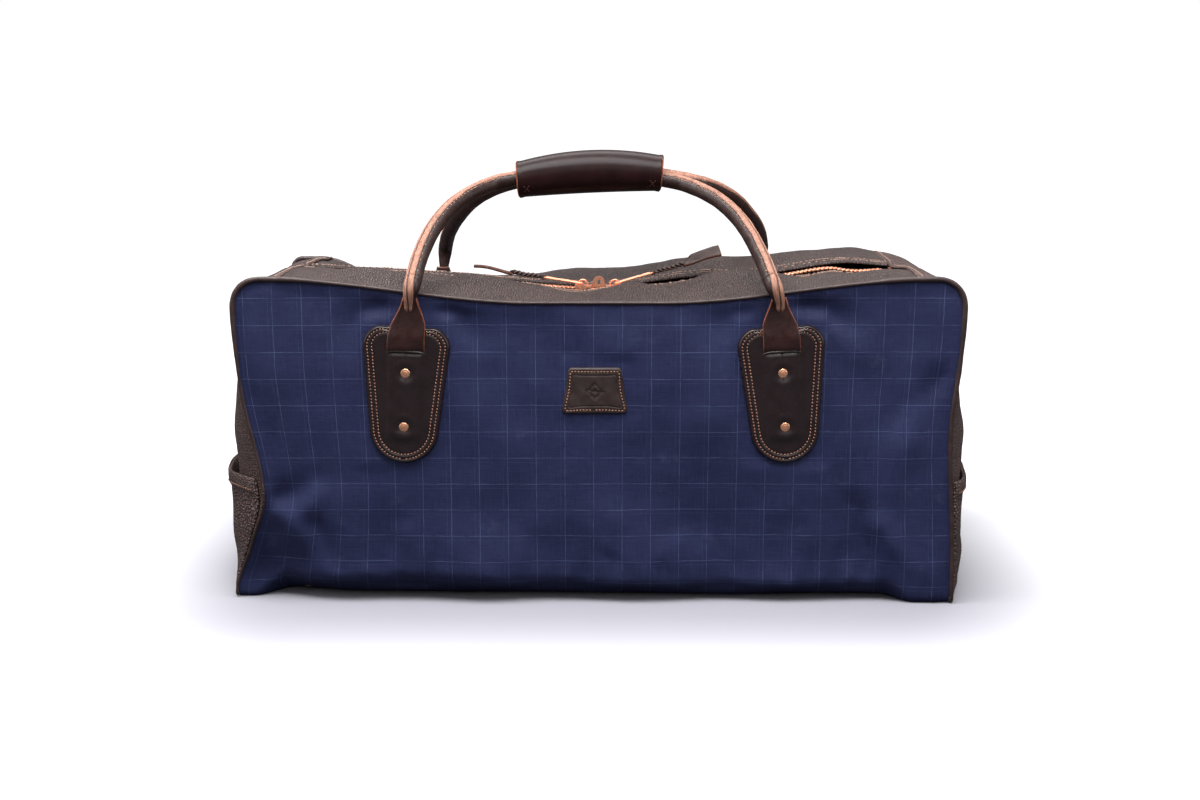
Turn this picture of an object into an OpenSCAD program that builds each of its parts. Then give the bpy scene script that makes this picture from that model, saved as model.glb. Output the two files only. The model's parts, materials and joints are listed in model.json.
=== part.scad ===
// Weekender duffel bag: waxed-canvas front and rear panels, a leather band that runs over
// the top and down both ends, a two-way zip, end pockets and a pair of rolled handles.
// +X runs along the bag, +Y to the rear and +Z up. The origin is on the floor under its middle.

/* [Body] */
// Half width of the front and rear panels
panel_hw = 271.5; // [255:0.5:285]
// Outer face of the front panel, measured from the middle of the bag
panel_y = 120; // [110:1:135]
// Height of the zip at the middle of the bag
zip_z = 237; // [225:1:250]
// Rise of the top per millimetre from the middle towards the ends
top_rise = 0.07; // [0.02:0.01:0.09]
// Radius of the top corners of the panels
corner_r = 26; // [18:1:34]
// Thickness of the canvas panels
canvas_t = 1.6; // [1:0.1:2.5]
// Thickness of the leather band
leather_t = 1.8; // [1.2:0.1:2.6]
// How far the ends bulge at mid depth
end_bulge = 19; // [8:1:26]
// Radius of the piping
piping_r = 4; // [2.5:0.5:4.5]

/* [Pockets] */
// Height of the end pockets
pocket_h = 95; // [70:1:130]
// How far the pocket mouth stands off the end at its middle
pocket_gape = 12; // [8:0.5:14]

/* [Top and zip] */
// Half length of the part of the top strips that lifts when the bag is opened
lift_hw = 165; // [120:5:180]
// Half width of the gap between the top strips
zip_gap = 9.5; // [8.5:0.5:12]
// Distance from one zip tooth to the next in a row
tooth_pitch = 3.5; // [3.2:0.1:5]
// Length of the metal pull from bail to end bar
pull_len = 33; // [26:1:40]
// Length of the braided leather tail
tail_len = 60; // [45:1:65]
// Resting slope of the left pull, degrees
left_pull_slope = 5; // [3:1:14]
// Resting slope of the right pull, degrees
right_pull_slope = 12; // [3:1:14]

/* [Handles] */
// Distance of each handle leg from the middle of the bag
handle_x = 145; // [130:1:160]
// Radius of the rolled leather
roll_r = 7.5; // [6:0.5:8]
// Height of the middle of the grip
grip_z = 333; // [320:1:345]
// Half length of the grip wrap
wrap_hw = 62; // [50:1:70]
// Tilt of each patch, top towards the middle, degrees
patch_tilt = 2.5; // [0:0.5:5]

/* [Hidden] */
$fn = 48;

gap = 0.1;                          // between faces that lie against each other
navy = [0.13, 0.15, 0.27];
pebbled = [0.24, 0.20, 0.19];
dark = [0.13, 0.09, 0.08];
chocolate = [0.22, 0.12, 0.09];
tan = [0.52, 0.33, 0.22];
copper = [0.85, 0.52, 0.36];
black = [0.06, 0.05, 0.05];

slope = atan(top_rise);             // of the top, in degrees
in_y = panel_y - canvas_t;          // inner face of the canvas panels
piping_y = panel_y + 1;
piping_off = piping_r + 0.3;        // of the piping's middle from the panel's edge
edge_drop = 2.5;                    // of the panel's top edge below the top strips
corner_x = panel_hw - corner_r;
corner_z = zip_z - edge_drop + top_rise * (corner_x - corner_r * sin(slope)) - corner_r * cos(slope);
band_y = piping_y - piping_r - 0.4; // where the leather band meets the piping

end_start = 250.5;                  // where the end panels begin, along the top
end_r = 18;
end_x = 270;
end_corner_x = end_x - end_r;
end_corner_z = zip_z + top_rise * end_corner_x - end_r;
zip_hw = 245;                       // half length of the zip

chain_hw = 3.6;                     // half width of the closed teeth
chain_low = -3.5;                   // heights below are from the top of the strips
chain_high = -1.1;
tape_low = -3;
tape_high = -2.2;
tooth_w = 1.4;
stop_hw = 3.2;
teeth_start = 10.6;

slider_in = 6;
slider_out = 20;
slider_hw = 6;
plate_high = 0.9;
bail_s = 13.5;
bail_r = 4.2;
bail_wire = 0.9;
pin_r = 0.8;
pin_w = plate_high + pin_r + 0.5;
ring_w = 4.2;
ring_r = 4.8;
ring_bore = 2;

patch_front = panel_y + 4.6;        // outer face of the handle patches
patch_low = 117.5;                  // height of the patch's lowest point
slot_z = 206.5;
tab_w = 26;
tab_top = 216;
rivet_z = [145.5, 187.8];
rivet_r = 1.6;
rivet_hole = rivet_r + 0.05;
rivet_head_r = 4;
back_y = in_y - gap - 2;            // inner face of the backing patches

foot_y = 130.5;                     // where the stiff part of each roll begins
foot_z = 258.5;
roll_gap = 0.7;
grip_y = roll_r + roll_gap;
leg_angle = 85;
grip_hw = 50;                       // half length of the straight part of the roll
bend_parts = 3;                     // lengths that each bend is made of
lean = atan2(grip_z - foot_z, foot_y - grip_y);
arch_u = handle_x - grip_hw;
arch_v = norm([foot_y - grip_y, grip_z - foot_z]);
arch_det = cos(leg_angle) * (1 - cos(leg_angle)) - pow(sin(leg_angle), 2);
leg_len = (arch_u * (1 - cos(leg_angle)) - arch_v * sin(leg_angle)) / arch_det;
arch_r = (arch_v * cos(leg_angle) - arch_u * sin(leg_angle)) / arch_det;
core_r = 3.5;

// Points of an arc, from angle a to angle b.
function arc(c, r, a, b, n = 8) =
    [for (i = [0:n]) c + r * [cos(a + (b - a) * i / n), sin(a + (b - a) * i / n)]];

function flip(points) = [for (i = [len(points) - 1:-1:0]) [-points[i][0], points[i][1]]];

// A closed outline from its right half, listed from the top middle to the bottom middle.
function both_sides(right) = concat(right, flip(right));

// Height of the top of the strips above x.
function top_z(x) = zip_z + top_rise * abs(x);

// An upright plate with an outline in X and Z, from y to y + t.
module upright(y, t) {
    translate([0, y + t, 0]) rotate([90, 0, 0]) linear_extrude(t) children();
}

// A closed skin between two grids of points that lie thickness apart.
module skin(outer, inner) {
    rows = len(outer);
    cols = len(outer[0]);
    n = rows * cols;
    points = concat([for (r = outer) for (p = r) p], [for (r = inner) for (p = r) p]);
    face_a = [for (i = [0:rows - 2]) for (j = [0:cols - 2]) each [
        [i * cols + j, (i + 1) * cols + j, (i + 1) * cols + j + 1],
        [i * cols + j, (i + 1) * cols + j + 1, i * cols + j + 1]]];
    face_b = [for (f = face_a) [f[2] + n, f[1] + n, f[0] + n]];
    ends = [for (i = [0:rows - 2]) each [
        [i * cols, i * cols + n, (i + 1) * cols], [(i + 1) * cols, i * cols + n, (i + 1) * cols + n],
        [(i + 2) * cols - 1, (i + 1) * cols - 1 + n, (i + 1) * cols - 1],
        [(i + 2) * cols - 1, (i + 2) * cols - 1 + n, (i + 1) * cols - 1 + n]]];
    last = (rows - 1) * cols;
    rims = [for (j = [0:cols - 2]) each [
        [j + 1, j + n, j], [j + 1, j + 1 + n, j + n],
        [last + j, last + j + n, last + j + 1], [last + j + 1, last + j + n, last + j + 1 + n]]];
    polyhedron(points, concat(face_a, face_b, ends, rims));
}

module on_side(side) {
    if (side > 0) children();
    else mirror([1, 0, 0]) children();
}

module on_rear(rear) {
    if (rear) mirror([0, 1, 0]) children();
    else children();
}

// The frame of the zip on one side: X runs outwards up the slope, Z stands off the top strips.
module on_slope(side) {
    on_side(side) translate([0, 0, zip_z]) rotate([0, -slope, 0]) children();
}

// Outline of a canvas panel.
function panel_outline() = both_sides(concat(
    [[0, zip_z - edge_drop]],
    arc([corner_x, corner_z], corner_r, 90 + slope, 0),
    arc([panel_hw - 8, 8], 8, 0, -90, 4)));

module canvas_panel(rear) {
    color(navy) on_rear(rear) difference() {
        upright(-panel_y, canvas_t) polygon(panel_outline());
        handle_rivets(rivet_hole);
    }
}

module bottom_panel() {
    color(navy) translate([-268, gap - in_y, 0]) cube([536, 2 * (in_y - gap), 1.6]);
}

module base_board() {
    color(black) translate([-258, -110, 1.7]) cube([516, 220, 3]);
}

module lining() {
    outer = [2 * 262, 2 * (back_y - 3)];
    color(tan) difference() {
        translate([-outer[0] / 2, -outer[1] / 2, 5]) cube([outer[0], outer[1], 218]);
        translate([-outer[0] / 2 + 0.8, -outer[1] / 2 + 0.8, 5.8]) cube([outer[0] - 1.6, outer[1] - 1.6, 220]);
    }
}

// How far an end stands out at depth y and height z, from its edges.
function bulge(y, z) = (1 - pow(y / band_y, 2)) * sin(135 * max(0, 1 - z / end_corner_z)) * end_bulge;

// The end profile, as [x, z, direction of its outward normal].
end_profile = concat(
    [[end_start, top_z(end_start), 90]],
    [for (a = [90:-15:0]) [end_corner_x + end_r * cos(a), end_corner_z + end_r * sin(a), a]],
    [for (i = [1:10]) [end_x, end_corner_z * (1 - i / 10), 0]]);
end_columns = [for (i = [-8:8]) band_y * i / 8];

function end_grid(off) = [for (p = end_profile) [for (y = end_columns)
    [p[0] + off * cos(p[2]) + bulge(y, p[1]), y, p[1] + off * sin(p[2])]]];

module end_panel(side) {
    color(pebbled) on_side(side) skin(end_grid(0), end_grid(-leather_t));
}

// How far the pocket stands off the end panel: sewn down below and at the sides, open above.
function pocket_off(y, z) = 0.3 + (pocket_gape - 0.3) * (1 - pow(y / band_y, 2)) * sin(90 * z / pocket_h);

function pocket_grid(off) = [for (i = [0:8]) let (z = pocket_h * (8 - i) / 8) [for (y = end_columns)
    [end_x + bulge(y, z) + pocket_off(y, z) + off, y, z]]];

module end_pocket(side) {
    color(pebbled) on_side(side) skin(pocket_grid(leather_t), pocket_grid(0));
}

// Three lengths of round bar: up one side, round the corner and along the top to the middle.
module piping_half() {
    join = 0.4;
    r = corner_r + piping_off;
    straight = (corner_x - r * sin(slope)) / cos(slope);
    translate([corner_x + r, -piping_y, 6]) cylinder(h = corner_z - 6 - gap, r = piping_r);
    translate([corner_x, -piping_y, corner_z]) rotate([90, 0, 0])
        rotate_extrude(angle = 90 + slope) translate([r, 0]) circle(piping_r);
    translate([0, -piping_y, zip_z - edge_drop + piping_off / cos(slope)]) rotate([0, 90 - slope, 0])
        translate([0, 0, join]) cylinder(h = straight - join - gap, r = piping_r);
}

module piping(rear) {
    color(dark) on_rear(rear) {
        piping_half();
        mirror([1, 0, 0]) piping_half();
    }
}

// A strip of the top between two distances from the middle, with the top's rise.
module strip_profile(from, to, high = 0, low = -leather_t) {
    polygon([[from, top_z(from) + low], [to, top_z(to) + low], [to, top_z(to) + high], [from, top_z(from) + high]]);
}

// The part of each top strip that stays put: a narrow margin along the piping and the two ends.
module top_edge(rear) {
    color(pebbled) on_rear(rear) {
        for (side = [-1, 1]) on_side(side) {
            upright(-band_y, 2) strip_profile(0, end_start - gap);
            upright(-band_y + 1, band_y - 1 - zip_gap) strip_profile(lift_hw + 1, end_start - gap);
        }
    }
}

module top_strip(rear) {
    color(pebbled) on_rear(rear) for (side = [-1, 1]) on_side(side)
        upright(-110, 110 - zip_gap) strip_profile(0, lift_hw);
}

module zip_tape(rear) {
    color(black) on_rear(rear) for (side = [-1, 1]) on_side(side)
        upright(-16, 16 - chain_hw - gap) strip_profile(0, zip_hw, tape_high, tape_low);
}

// One row of teeth on a bead, from the slider's post to the end stop.
function comb(shift, n) = concat(
    [[teeth_start, -chain_hw]],
    [[teeth_start + n * tooth_pitch, -chain_hw]],
    [for (i = [n - 1:-1:0]) let (x = teeth_start + i * tooth_pitch + shift) each
        [[x + tooth_w, -2.5], [x + tooth_w, 1.1], [x, 1.1], [x, -2.5]]],
    [[teeth_start, -2.5]]);

module zip_teeth(rear) {
    n = floor((zip_hw - 3 - teeth_start) / tooth_pitch);
    shift = (tooth_pitch / 2 - tooth_w) / 2 + (rear ? tooth_pitch / 2 : 0);
    color(copper) for (side = [-1, 1]) on_slope(side) on_rear(rear)
        translate([0, 0, chain_low]) linear_extrude(chain_high - chain_low) polygon(comb(shift, n));
}

module zip_stops() {
    color(copper) for (side = [-1, 1]) on_slope(side)
        translate([zip_hw - 2, -stop_hw, chain_low - 0.4]) cube([2, 2 * stop_hw, chain_high - chain_low + 0.8]);
}

// A slider: two plates joined by a post, lips that hold the tape, a bail and a lock ring.
module slider(side) {
    ring_y = side > 0 ? -1.9 : 0.3;
    long = slider_out - slider_in;
    color(copper) on_slope(side) {
        difference() {
            translate([slider_in, -slider_hw, -5.5]) cube([long, 2 * slider_hw, plate_high + 5.5]);
            translate([slider_in + 3.8, -chain_hw - 0.4, chain_low - 0.4])
                cube([long, 2 * chain_hw + 0.8, chain_high - chain_low + 0.8]);
            translate([slider_in + 3.8, -20, tape_low - 0.4]) cube([long, 40, tape_high - tape_low + 0.8]);
            for (s = [-1, 1]) translate([slider_in - 1, s > 0 ? 1.8 : -21.8, chain_low - 0.4])
                cube([5, 20, chain_high - chain_low + 0.8]);
        }
        translate([bail_s, 0, plate_high - 0.1]) rotate([90, 0, 0])
            rotate_extrude(angle = 180) translate([bail_r, 0]) circle(bail_wire, $fn = 24);
        difference() {
            union() {
                translate([ring_w * tan(slope), ring_y, ring_w]) rotate([-90, 0, 0]) cylinder(h = 1.6, r = ring_r);
                translate([2.5, ring_y, -0.6]) cube([slider_in - 2.4, 1.6, 3.2]);
            }
            translate([ring_w * tan(slope), -9, ring_w]) rotate([-90, 0, 0]) cylinder(h = 18, r = ring_bore);
        }
    }
}

// The frame of a pull: origin on its pin, X out along the pull.
module on_pull(side) {
    lift = side > 0 ? right_pull_slope : left_pull_slope;
    on_slope(side) translate([bail_s, 0, pin_w]) rotate([0, -lift, 0]) children();
}

module cross_bar(x) {
    translate([x, -3.6, 0]) rotate([-90, 0, 0]) cylinder(h = 7.2, r = pin_r, $fn = 24);
}

module pull(side) {
    color(copper) on_pull(side) {
        cross_bar(0);
        cross_bar(pull_len);
        for (s = [-1, 1]) translate([0, s > 0 ? 2.4 : -3.6, -pin_r]) cube([pull_len, 1.2, 2 * pin_r]);
        translate([8, -3.6, -pin_r]) cube([pull_len - 17, 7.2, 2 * pin_r]);
    }
}

// The tail: an eye round the pull's end bar, a narrow neck, the braid and a flat end.
module tail(side) {
    color(dark) on_pull(side) translate([pull_len, 0, 0]) {
        difference() {
            union() {
                translate([0, -2.1, 0]) rotate([-90, 0, 0]) cylinder(h = 4.2, r = 2.4, $fn = 24);
                translate([0, -2.1, -1.2]) cube([8, 4.2, 2.4]);
            }
            translate([0, -3, 0]) rotate([-90, 0, 0]) cylinder(h = 6, r = pin_r + 0.3, $fn = 24);
        }
        translate([7.5, -4, -2]) cube([tail_len - 30, 8, 4]);
        translate([tail_len - 23, -6.5, -1.6]) cube([23, 13, 3.2]);
    }
}

// Outline of a handle patch, with its lowest point at the origin.
function patch_outline() = both_sides(concat(
    [[0, 106]],
    arc([17, 89], 16, 78, 0, 6),
    arc([0, 26], 26, -6, -90, 8)));

module at_patch(side) {
    on_side(side) translate([handle_x, 0, patch_low]) rotate([0, -patch_tilt, 0]) children();
}

module rivet_holes(from, to, r) {
    for (z = rivet_z) translate([0, -to, z - patch_low]) rotate([-90, 0, 0]) cylinder(h = to - from, r = r);
}

// Both handle patches' rivet posts, as bores or as solids.
module handle_rivets(r) {
    for (side = [-1, 1]) at_patch(side) rivet_holes(110, 130, r);
}

module patch(side, rear) {
    color(dark) on_rear(rear) at_patch(side) difference() {
        upright(-patch_front, patch_front - panel_y - gap) polygon(patch_outline());
        translate([-tab_w / 2 - 0.6, -panel_y - 2.45, 16]) cube([tab_w + 1.2, 5, slot_z - patch_low - 15]);
        translate([-tab_w / 2 - 0.6, -patch_front - 1, slot_z - patch_low - 3])
            cube([tab_w + 1.2, 8, 6]);
        rivet_holes(110, 130, rivet_hole);
    }
}

// A flat strap: its tail lies riveted behind the patch, and its end comes out through the slot.
module tab(side, rear) {
    tail = [panel_y + gap, panel_y + 2.3];
    face = [patch_front + 0.2, patch_front + 2.6];
    z = slot_z - patch_low;
    color(chocolate) on_rear(rear) at_patch(side) difference() {
        translate([-tab_w / 2, 0, 0]) rotate([90, 0, 90]) linear_extrude(tab_w) polygon([
            [-tail[0], 18], [-tail[0], z + 0.2], [-face[0], z + 2.6], [-face[0], tab_top - patch_low],
            [-face[1], tab_top - patch_low], [-face[1], z + 0.6], [-tail[1], z - 2], [-tail[1], 18]]);
        rivet_holes(110, 130, rivet_hole);
    }
}

module backing(rear) {
    color(dark) on_rear(rear) for (side = [-1, 1]) at_patch(side) difference() {
        translate([-24, -in_y + gap, 12]) cube([48, 2, 84]);
        rivet_holes(110, 130, rivet_hole);
    }
}

module rivets(rear) {
    color(copper) on_rear(rear) for (side = [-1, 1]) at_patch(side) {
        rivet_holes(back_y - 1.2, patch_front + 0.2, rivet_r);
        rivet_holes(patch_front + 0.1, patch_front + 1.3, rivet_head_r);
        rivet_holes(back_y - 1.9, back_y - 1.2, 2.4);
    }
}

module burrs(rear) {
    color(copper) on_rear(rear) for (side = [-1, 1]) at_patch(side) difference() {
        rivet_holes(back_y - 1.1, back_y - gap, 4.4);
        rivet_holes(110, 130, rivet_hole);
    }
}

module label() {
    outline = both_sides(concat([[0, 36.5]], arc([16, 33.5], 3, 85, 5, 4), arc([22, 3], 3, 5, -90, 4)));
    color(dark) upright(-panel_y - 2.2, 2.1) translate([0, 156]) polygon(outline);
}

// The frame of a handle: origin level with its feet, X along the bag, Y up the leaning arch.
module on_arch(rear) {
    on_rear(rear) translate([0, -foot_y, foot_z]) rotate([lean, 0, 0]) children();
}

// A round bar or tube along one leg, its bend and half of the grip.
module arch_half(r, hole = 0) {
    bend = [grip_hw, arch_v - arch_r];
    translate([handle_x, 0, 0]) rotate([0, 0, 90 - leg_angle]) rotate([-90, 0, 0]) ring(leg_len, r, hole);
    for (i = [0:bend_parts - 1])
        translate([bend[0], bend[1], 0]) rotate([0, 0, 90 - leg_angle + leg_angle * i / bend_parts])
            rotate_extrude(angle = leg_angle / bend_parts, $fn = 96) translate([arch_r, 0]) difference() {
                circle(r);
                if (hole > 0) circle(hole);
            }
    translate([0, arch_v, 0]) rotate([0, 90, 0]) ring(grip_hw, r, hole);
}

module ring(h, r, hole) {
    difference() {
        cylinder(h = h, r = r);
        if (hole > 0) translate([0, 0, -1]) cylinder(h = h + 2, r = hole);
    }
}

module handle_roll(rear) {
    color(tan) on_arch(rear) {
        arch_half(roll_r, core_r + gap);
        mirror([1, 0, 0]) arch_half(roll_r, core_r + gap);
    }
}

module handle_core(rear) {
    color(black) on_arch(rear) {
        arch_half(core_r);
        mirror([1, 0, 0]) arch_half(core_r);
    }
}

// Half of the sleeve that holds the two rolls together, open towards the other half.
module grip_wrap(rear) {
    function oval(a, b) = [for (t = [0:7.5:359]) [a * cos(t), b * sin(t)]];
    color(dark) on_rear(rear) translate([-wrap_hw, 0, grip_z]) rotate([90, 0, 90]) linear_extrude(2 * wrap_hw)
        difference() {
            polygon(oval(19.5, 15.5));
            polygon(oval(17.2, 13));
            translate([-0.2, -20]) square([20, 40]);
        }
}

// The soft end of each roll, which narrows from the flat strap and bends when the handle drops.
module handle_necks(rear) {
    color(tan) on_rear(rear) for (side = [-1, 1]) on_side(side) {
        hull() {
            at_patch(1) translate([-tab_w / 2, -patch_front - 2.6, tab_top - patch_low + 0.2]) cube([tab_w, 2.4, 0.5]);
            translate([handle_x, -foot_y, 236]) cylinder(h = 1, r = 4.5, $fn = 24);
        }
        hull() {
            translate([handle_x, -foot_y, 236]) cylinder(h = 1, r = 4.5, $fn = 24);
            translate([handle_x, -foot_y, foot_z - 5]) rotate([lean - 90, 0, 0]) cylinder(h = 1, r = 4.5, $fn = 24);
        }
    }
}

canvas_panel(false);  // front_panel
canvas_panel(true);  // rear_panel
bottom_panel();
base_board();
lining();
end_panel(-1);  // end_panel_left
end_panel(1);  // end_panel_right
end_pocket(-1);  // end_pocket_left
end_pocket(1);  // end_pocket_right
piping(false);  // piping_front
piping(true);  // piping_rear
top_edge(false);  // top_edge_front
top_edge(true);  // top_edge_rear
patch(-1, false);  // patch_front_left
patch(1, false);  // patch_front_right
patch(-1, true);  // patch_rear_left
patch(1, true);  // patch_rear_right
tab(-1, false);  // tab_front_left
tab(1, false);  // tab_front_right
tab(-1, true);  // tab_rear_left
tab(1, true);  // tab_rear_right
backing(false);  // backing_front
backing(true);  // backing_rear
rivets(false);  // rivets_front
rivets(true);  // rivets_rear
burrs(false);  // burrs_front
burrs(true);  // burrs_rear
label();
zip_stops();
top_strip(false);  // top_strip_front
zip_tape(false);  // zip_tape_front
zip_teeth(false);  // zip_teeth_front
top_strip(true);  // top_strip_rear
zip_tape(true);  // zip_tape_rear
zip_teeth(true);  // zip_teeth_rear
slider(-1);  // slider_left
slider(1);  // slider_right
pull(-1);  // pull_left
pull(1);  // pull_right
tail(-1);  // tail_left
tail(1);  // tail_right
handle_roll(false);  // handle_roll_front
handle_core(false);  // handle_core_front
grip_wrap(false);  // grip_wrap_front
handle_necks(false);  // handle_necks_front
handle_roll(true);  // handle_roll_rear
handle_core(true);  // handle_core_rear
grip_wrap(true);  // grip_wrap_rear
handle_necks(true);  // handle_necks_rear
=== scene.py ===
# The looks of a weekender duffel bag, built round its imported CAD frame.
# Lengths are in metres. +X runs along the bag, the front faces -Y and +Z is up.
import json
import math

import bmesh
import bpy
import numpy as np
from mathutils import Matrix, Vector


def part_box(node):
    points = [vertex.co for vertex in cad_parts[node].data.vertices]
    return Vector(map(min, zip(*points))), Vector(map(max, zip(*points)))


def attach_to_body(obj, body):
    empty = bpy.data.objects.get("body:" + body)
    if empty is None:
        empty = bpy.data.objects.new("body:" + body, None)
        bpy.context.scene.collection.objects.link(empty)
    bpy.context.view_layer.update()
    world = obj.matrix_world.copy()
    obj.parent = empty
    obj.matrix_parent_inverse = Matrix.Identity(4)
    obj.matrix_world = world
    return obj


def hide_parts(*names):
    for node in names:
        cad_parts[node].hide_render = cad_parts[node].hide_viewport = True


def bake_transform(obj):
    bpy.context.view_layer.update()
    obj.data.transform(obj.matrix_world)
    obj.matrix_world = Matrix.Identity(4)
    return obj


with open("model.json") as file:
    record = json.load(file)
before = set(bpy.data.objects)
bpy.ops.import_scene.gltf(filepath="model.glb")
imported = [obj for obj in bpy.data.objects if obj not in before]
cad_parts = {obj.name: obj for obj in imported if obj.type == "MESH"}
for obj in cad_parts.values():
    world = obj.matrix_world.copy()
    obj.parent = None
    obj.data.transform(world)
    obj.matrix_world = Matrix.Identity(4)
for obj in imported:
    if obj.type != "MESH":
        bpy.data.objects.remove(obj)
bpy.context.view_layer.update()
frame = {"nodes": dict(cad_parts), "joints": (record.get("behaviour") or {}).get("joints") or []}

MM = 0.001
SIDES = {"left": -1, "right": 1}
FACES = {"front": False, "rear": True}
# The quarters of the bag: the name of each, its face, whether that is the rear, and its side
QUARTERS = [(f"{word}_{side_word}", word, rear, side)
            for word, rear in FACES.items() for side_word, side in SIDES.items()]

# Sizes taken from the frame
panel_lo, panel_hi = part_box("front_panel")
strip_lo, strip_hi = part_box("top_strip_front")
wrap_lo, wrap_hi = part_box("grip_wrap_front")
FACE_Y = -panel_lo.y  # outer face of a canvas panel, from the middle of the bag
HALF = panel_hi.x + 6.6 * MM  # half length of a panel, filled out to its piping
LEATHER = 1.8 * MM
ZIP_Z = strip_lo.z + LEATHER  # height of the zip at the middle
RISE = (strip_hi.z - ZIP_Z) / strip_hi.x  # of the zip, per metre towards the ends
ZIP_GAP = -strip_hi.y  # from the middle of the zip to the edge of a top strip
ZIP_END = 245 * MM
SEAM_X = 250.5 * MM  # where the top strips meet the end pieces
PIPE_R = 2.1 * MM
PIPE_OUT = 1.7 * MM  # of the piping's middle from the panel's edge
PIPE_Y = FACE_Y + 0.3 * MM
TUCK_Y = PIPE_Y - 1.8 * MM  # where leather goes in under the piping
STRIP_WIDE = TUCK_Y - ZIP_GAP  # of a top strip, from the piping to the zip
CORNER_R = 19 * MM
TIGHT_R = 8 * MM  # of the rear left corner, which is sewn more sharply
PATCH_LOW = 117.5 * MM  # height from which the lean of a patch is measured
PATCH_BASE = PATCH_LOW - 2.5 * MM  # lowest point of a patch
PATCH_SEAMS = (3.7 * MM, 7.3 * MM)  # its two rows of stitches, from its edge
# Distance of each patch's foot from the middle, and how much it leans inwards, by side and by rear or not
PATCHES = {
    (-1, False): (152 * MM, math.radians(2.9)),
    (1, False): (146 * MM, math.radians(3.8)),
    (-1, True): (146 * MM, math.radians(2.5)),
    (1, True): (148 * MM, math.radians(2.5)),
}
RIVET_Z = (144.3 * MM, 186.6 * MM)
SLOT_Z = 203.8 * MM  # mouth of the slot that a strap comes out of
GRIP_Z = (wrap_lo.z + wrap_hi.z) / 2
WRAP_HALF = wrap_hi.x - 1.5 * MM
WRAP_SHIFT = 7.5 * MM  # of the grip towards the left


# ---------------------------------------------------------------- numbers


def smooth(t):
    """0 below 0, 1 above 1 and an even curve between."""
    t = np.clip(t, 0, 1)
    return t * t * (3 - 2 * t)


def rise(value, start, span):
    """0 up to start, and 1 from span further on, both in millimetres."""
    return smooth((value - start * MM) / (span * MM))


def fall(value, end, span):
    """0 from end onwards, and 1 before the span that leads up to it, both in millimetres."""
    return smooth((end * MM - value) / (span * MM))


def hump(x, centre, below, above=None):
    """A bell 1 high at centre, with its own reach on each side."""
    reach = np.where(x < centre, below, below if above is None else above)
    return np.exp(-(((x - centre) / reach) ** 2))


def bells(x, base, table):
    """A height from millimetres: base, and humps of a height round a middle, with a reach on each side."""
    for high, centre, below, above in table:
        base = base + high * hump(x, centre * MM, below * MM, above * MM)
    return base * MM


def ripple(seed, size, *axes):
    """Smooth seeded noise from about -1 to 1, whose features are about size across."""
    rng = np.random.default_rng(seed)
    total = 0.0
    for _ in range(10):
        way = rng.normal(size=len(axes))
        way *= 2 * math.pi / (size * rng.uniform(0.9, 2.4) * np.linalg.norm(way))
        total = total + np.sin(sum(w * a for w, a in zip(way, axes)) + rng.uniform(0, 6.3))
    return total / 4


def unit(v):
    return v / np.maximum(np.linalg.norm(v, axis=-1, keepdims=True), 1e-12)


def grid_of(*parts):
    """Points from their coordinates, each of which is spread over the whole grid."""
    return np.stack(np.broadcast_arrays(*parts), -1)


def square(m, n):
    """Two coordinates from -1 to 1, one down a grid and one across it."""
    return np.linspace(-1, 1, m)[:, None], np.linspace(-1, 1, n)[None]


def eased(n):
    """Values from -1 to 1 that lie closer together at both ends."""
    return np.sin(np.linspace(-1, 1, n) * math.pi / 2)


def run_of(points):
    """Length along a line, up to each of its points."""
    return np.concatenate([[0], np.cumsum(np.linalg.norm(np.diff(points, axis=0), axis=1))])


def resample(points, step):
    """Points at an even step along a line."""
    points = np.asarray(points, float)
    run = run_of(points)
    at = np.linspace(0, run[-1], max(2, int(round(run[-1] / step)) + 1))
    return np.stack([np.interp(at, run, points[:, k]) for k in range(points.shape[1])], 1)


def bezier(a, b, c, d, n):
    t = np.linspace(0, 1, n)[:, None]
    return a * (1 - t) ** 3 + 3 * b * t * (1 - t) ** 2 + 3 * c * t * t * (1 - t) + d * t**3


# ---------------------------------------------------------------- meshes


def make(name, verts, faces, materials, uv=None, picks=None):
    """A mesh object. uv holds a flat position in metres for each vertex, picks a material for each face."""
    data = bpy.data.meshes.new(name)
    data.from_pydata(np.asarray(verts, float).reshape(-1, 3).tolist(), [], faces)
    for m in materials if isinstance(materials, (list, tuple)) else [materials]:
        data.materials.append(m)
    if uv is not None:
        index = np.empty(len(data.loops), int)
        data.loops.foreach_get("vertex_index", index)
        layer = data.uv_layers.new(name="flat")
        layer.data.foreach_set("uv", np.asarray(uv, np.float32).reshape(-1, 2)[index].ravel())
    if picks is not None:
        data.polygons.foreach_set("material_index", np.asarray(picks, np.int32))
    data.polygons.foreach_set("use_smooth", np.ones(len(faces), bool))
    data.validate()
    data.update()
    obj = bpy.data.objects.new(name, data)
    bpy.context.scene.collection.objects.link(obj)
    return obj


def attach(piece, body, slot, *nodes):
    """The piece rides on a CAD body and stands for CAD nodes, which it hides. slot is not used."""
    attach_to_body(piece, body)
    if nodes:
        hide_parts(*nodes)


def mirrored(verts, faces):
    """The same solid on the other face of the bag."""
    return verts * np.array([1.0, -1.0, 1.0]), [f[::-1] for f in faces]


def ring_faces(rows, n):
    """Faces between neighbouring rings of n points each."""
    return [[i * n + j, i * n + (j + 1) % n, (i + 1) * n + (j + 1) % n, (i + 1) * n + j]
            for i in range(rows) for j in range(n)]


def stacked(rings):
    """A closed solid from rings with as many points each, flat at both ends."""
    n, last = len(rings[0]), len(rings) - 1
    ends = [list(range(n - 1, -1, -1)), [last * n + j for j in range(n)]]
    return np.concatenate(rings), ring_faces(last, n) + ends


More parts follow.
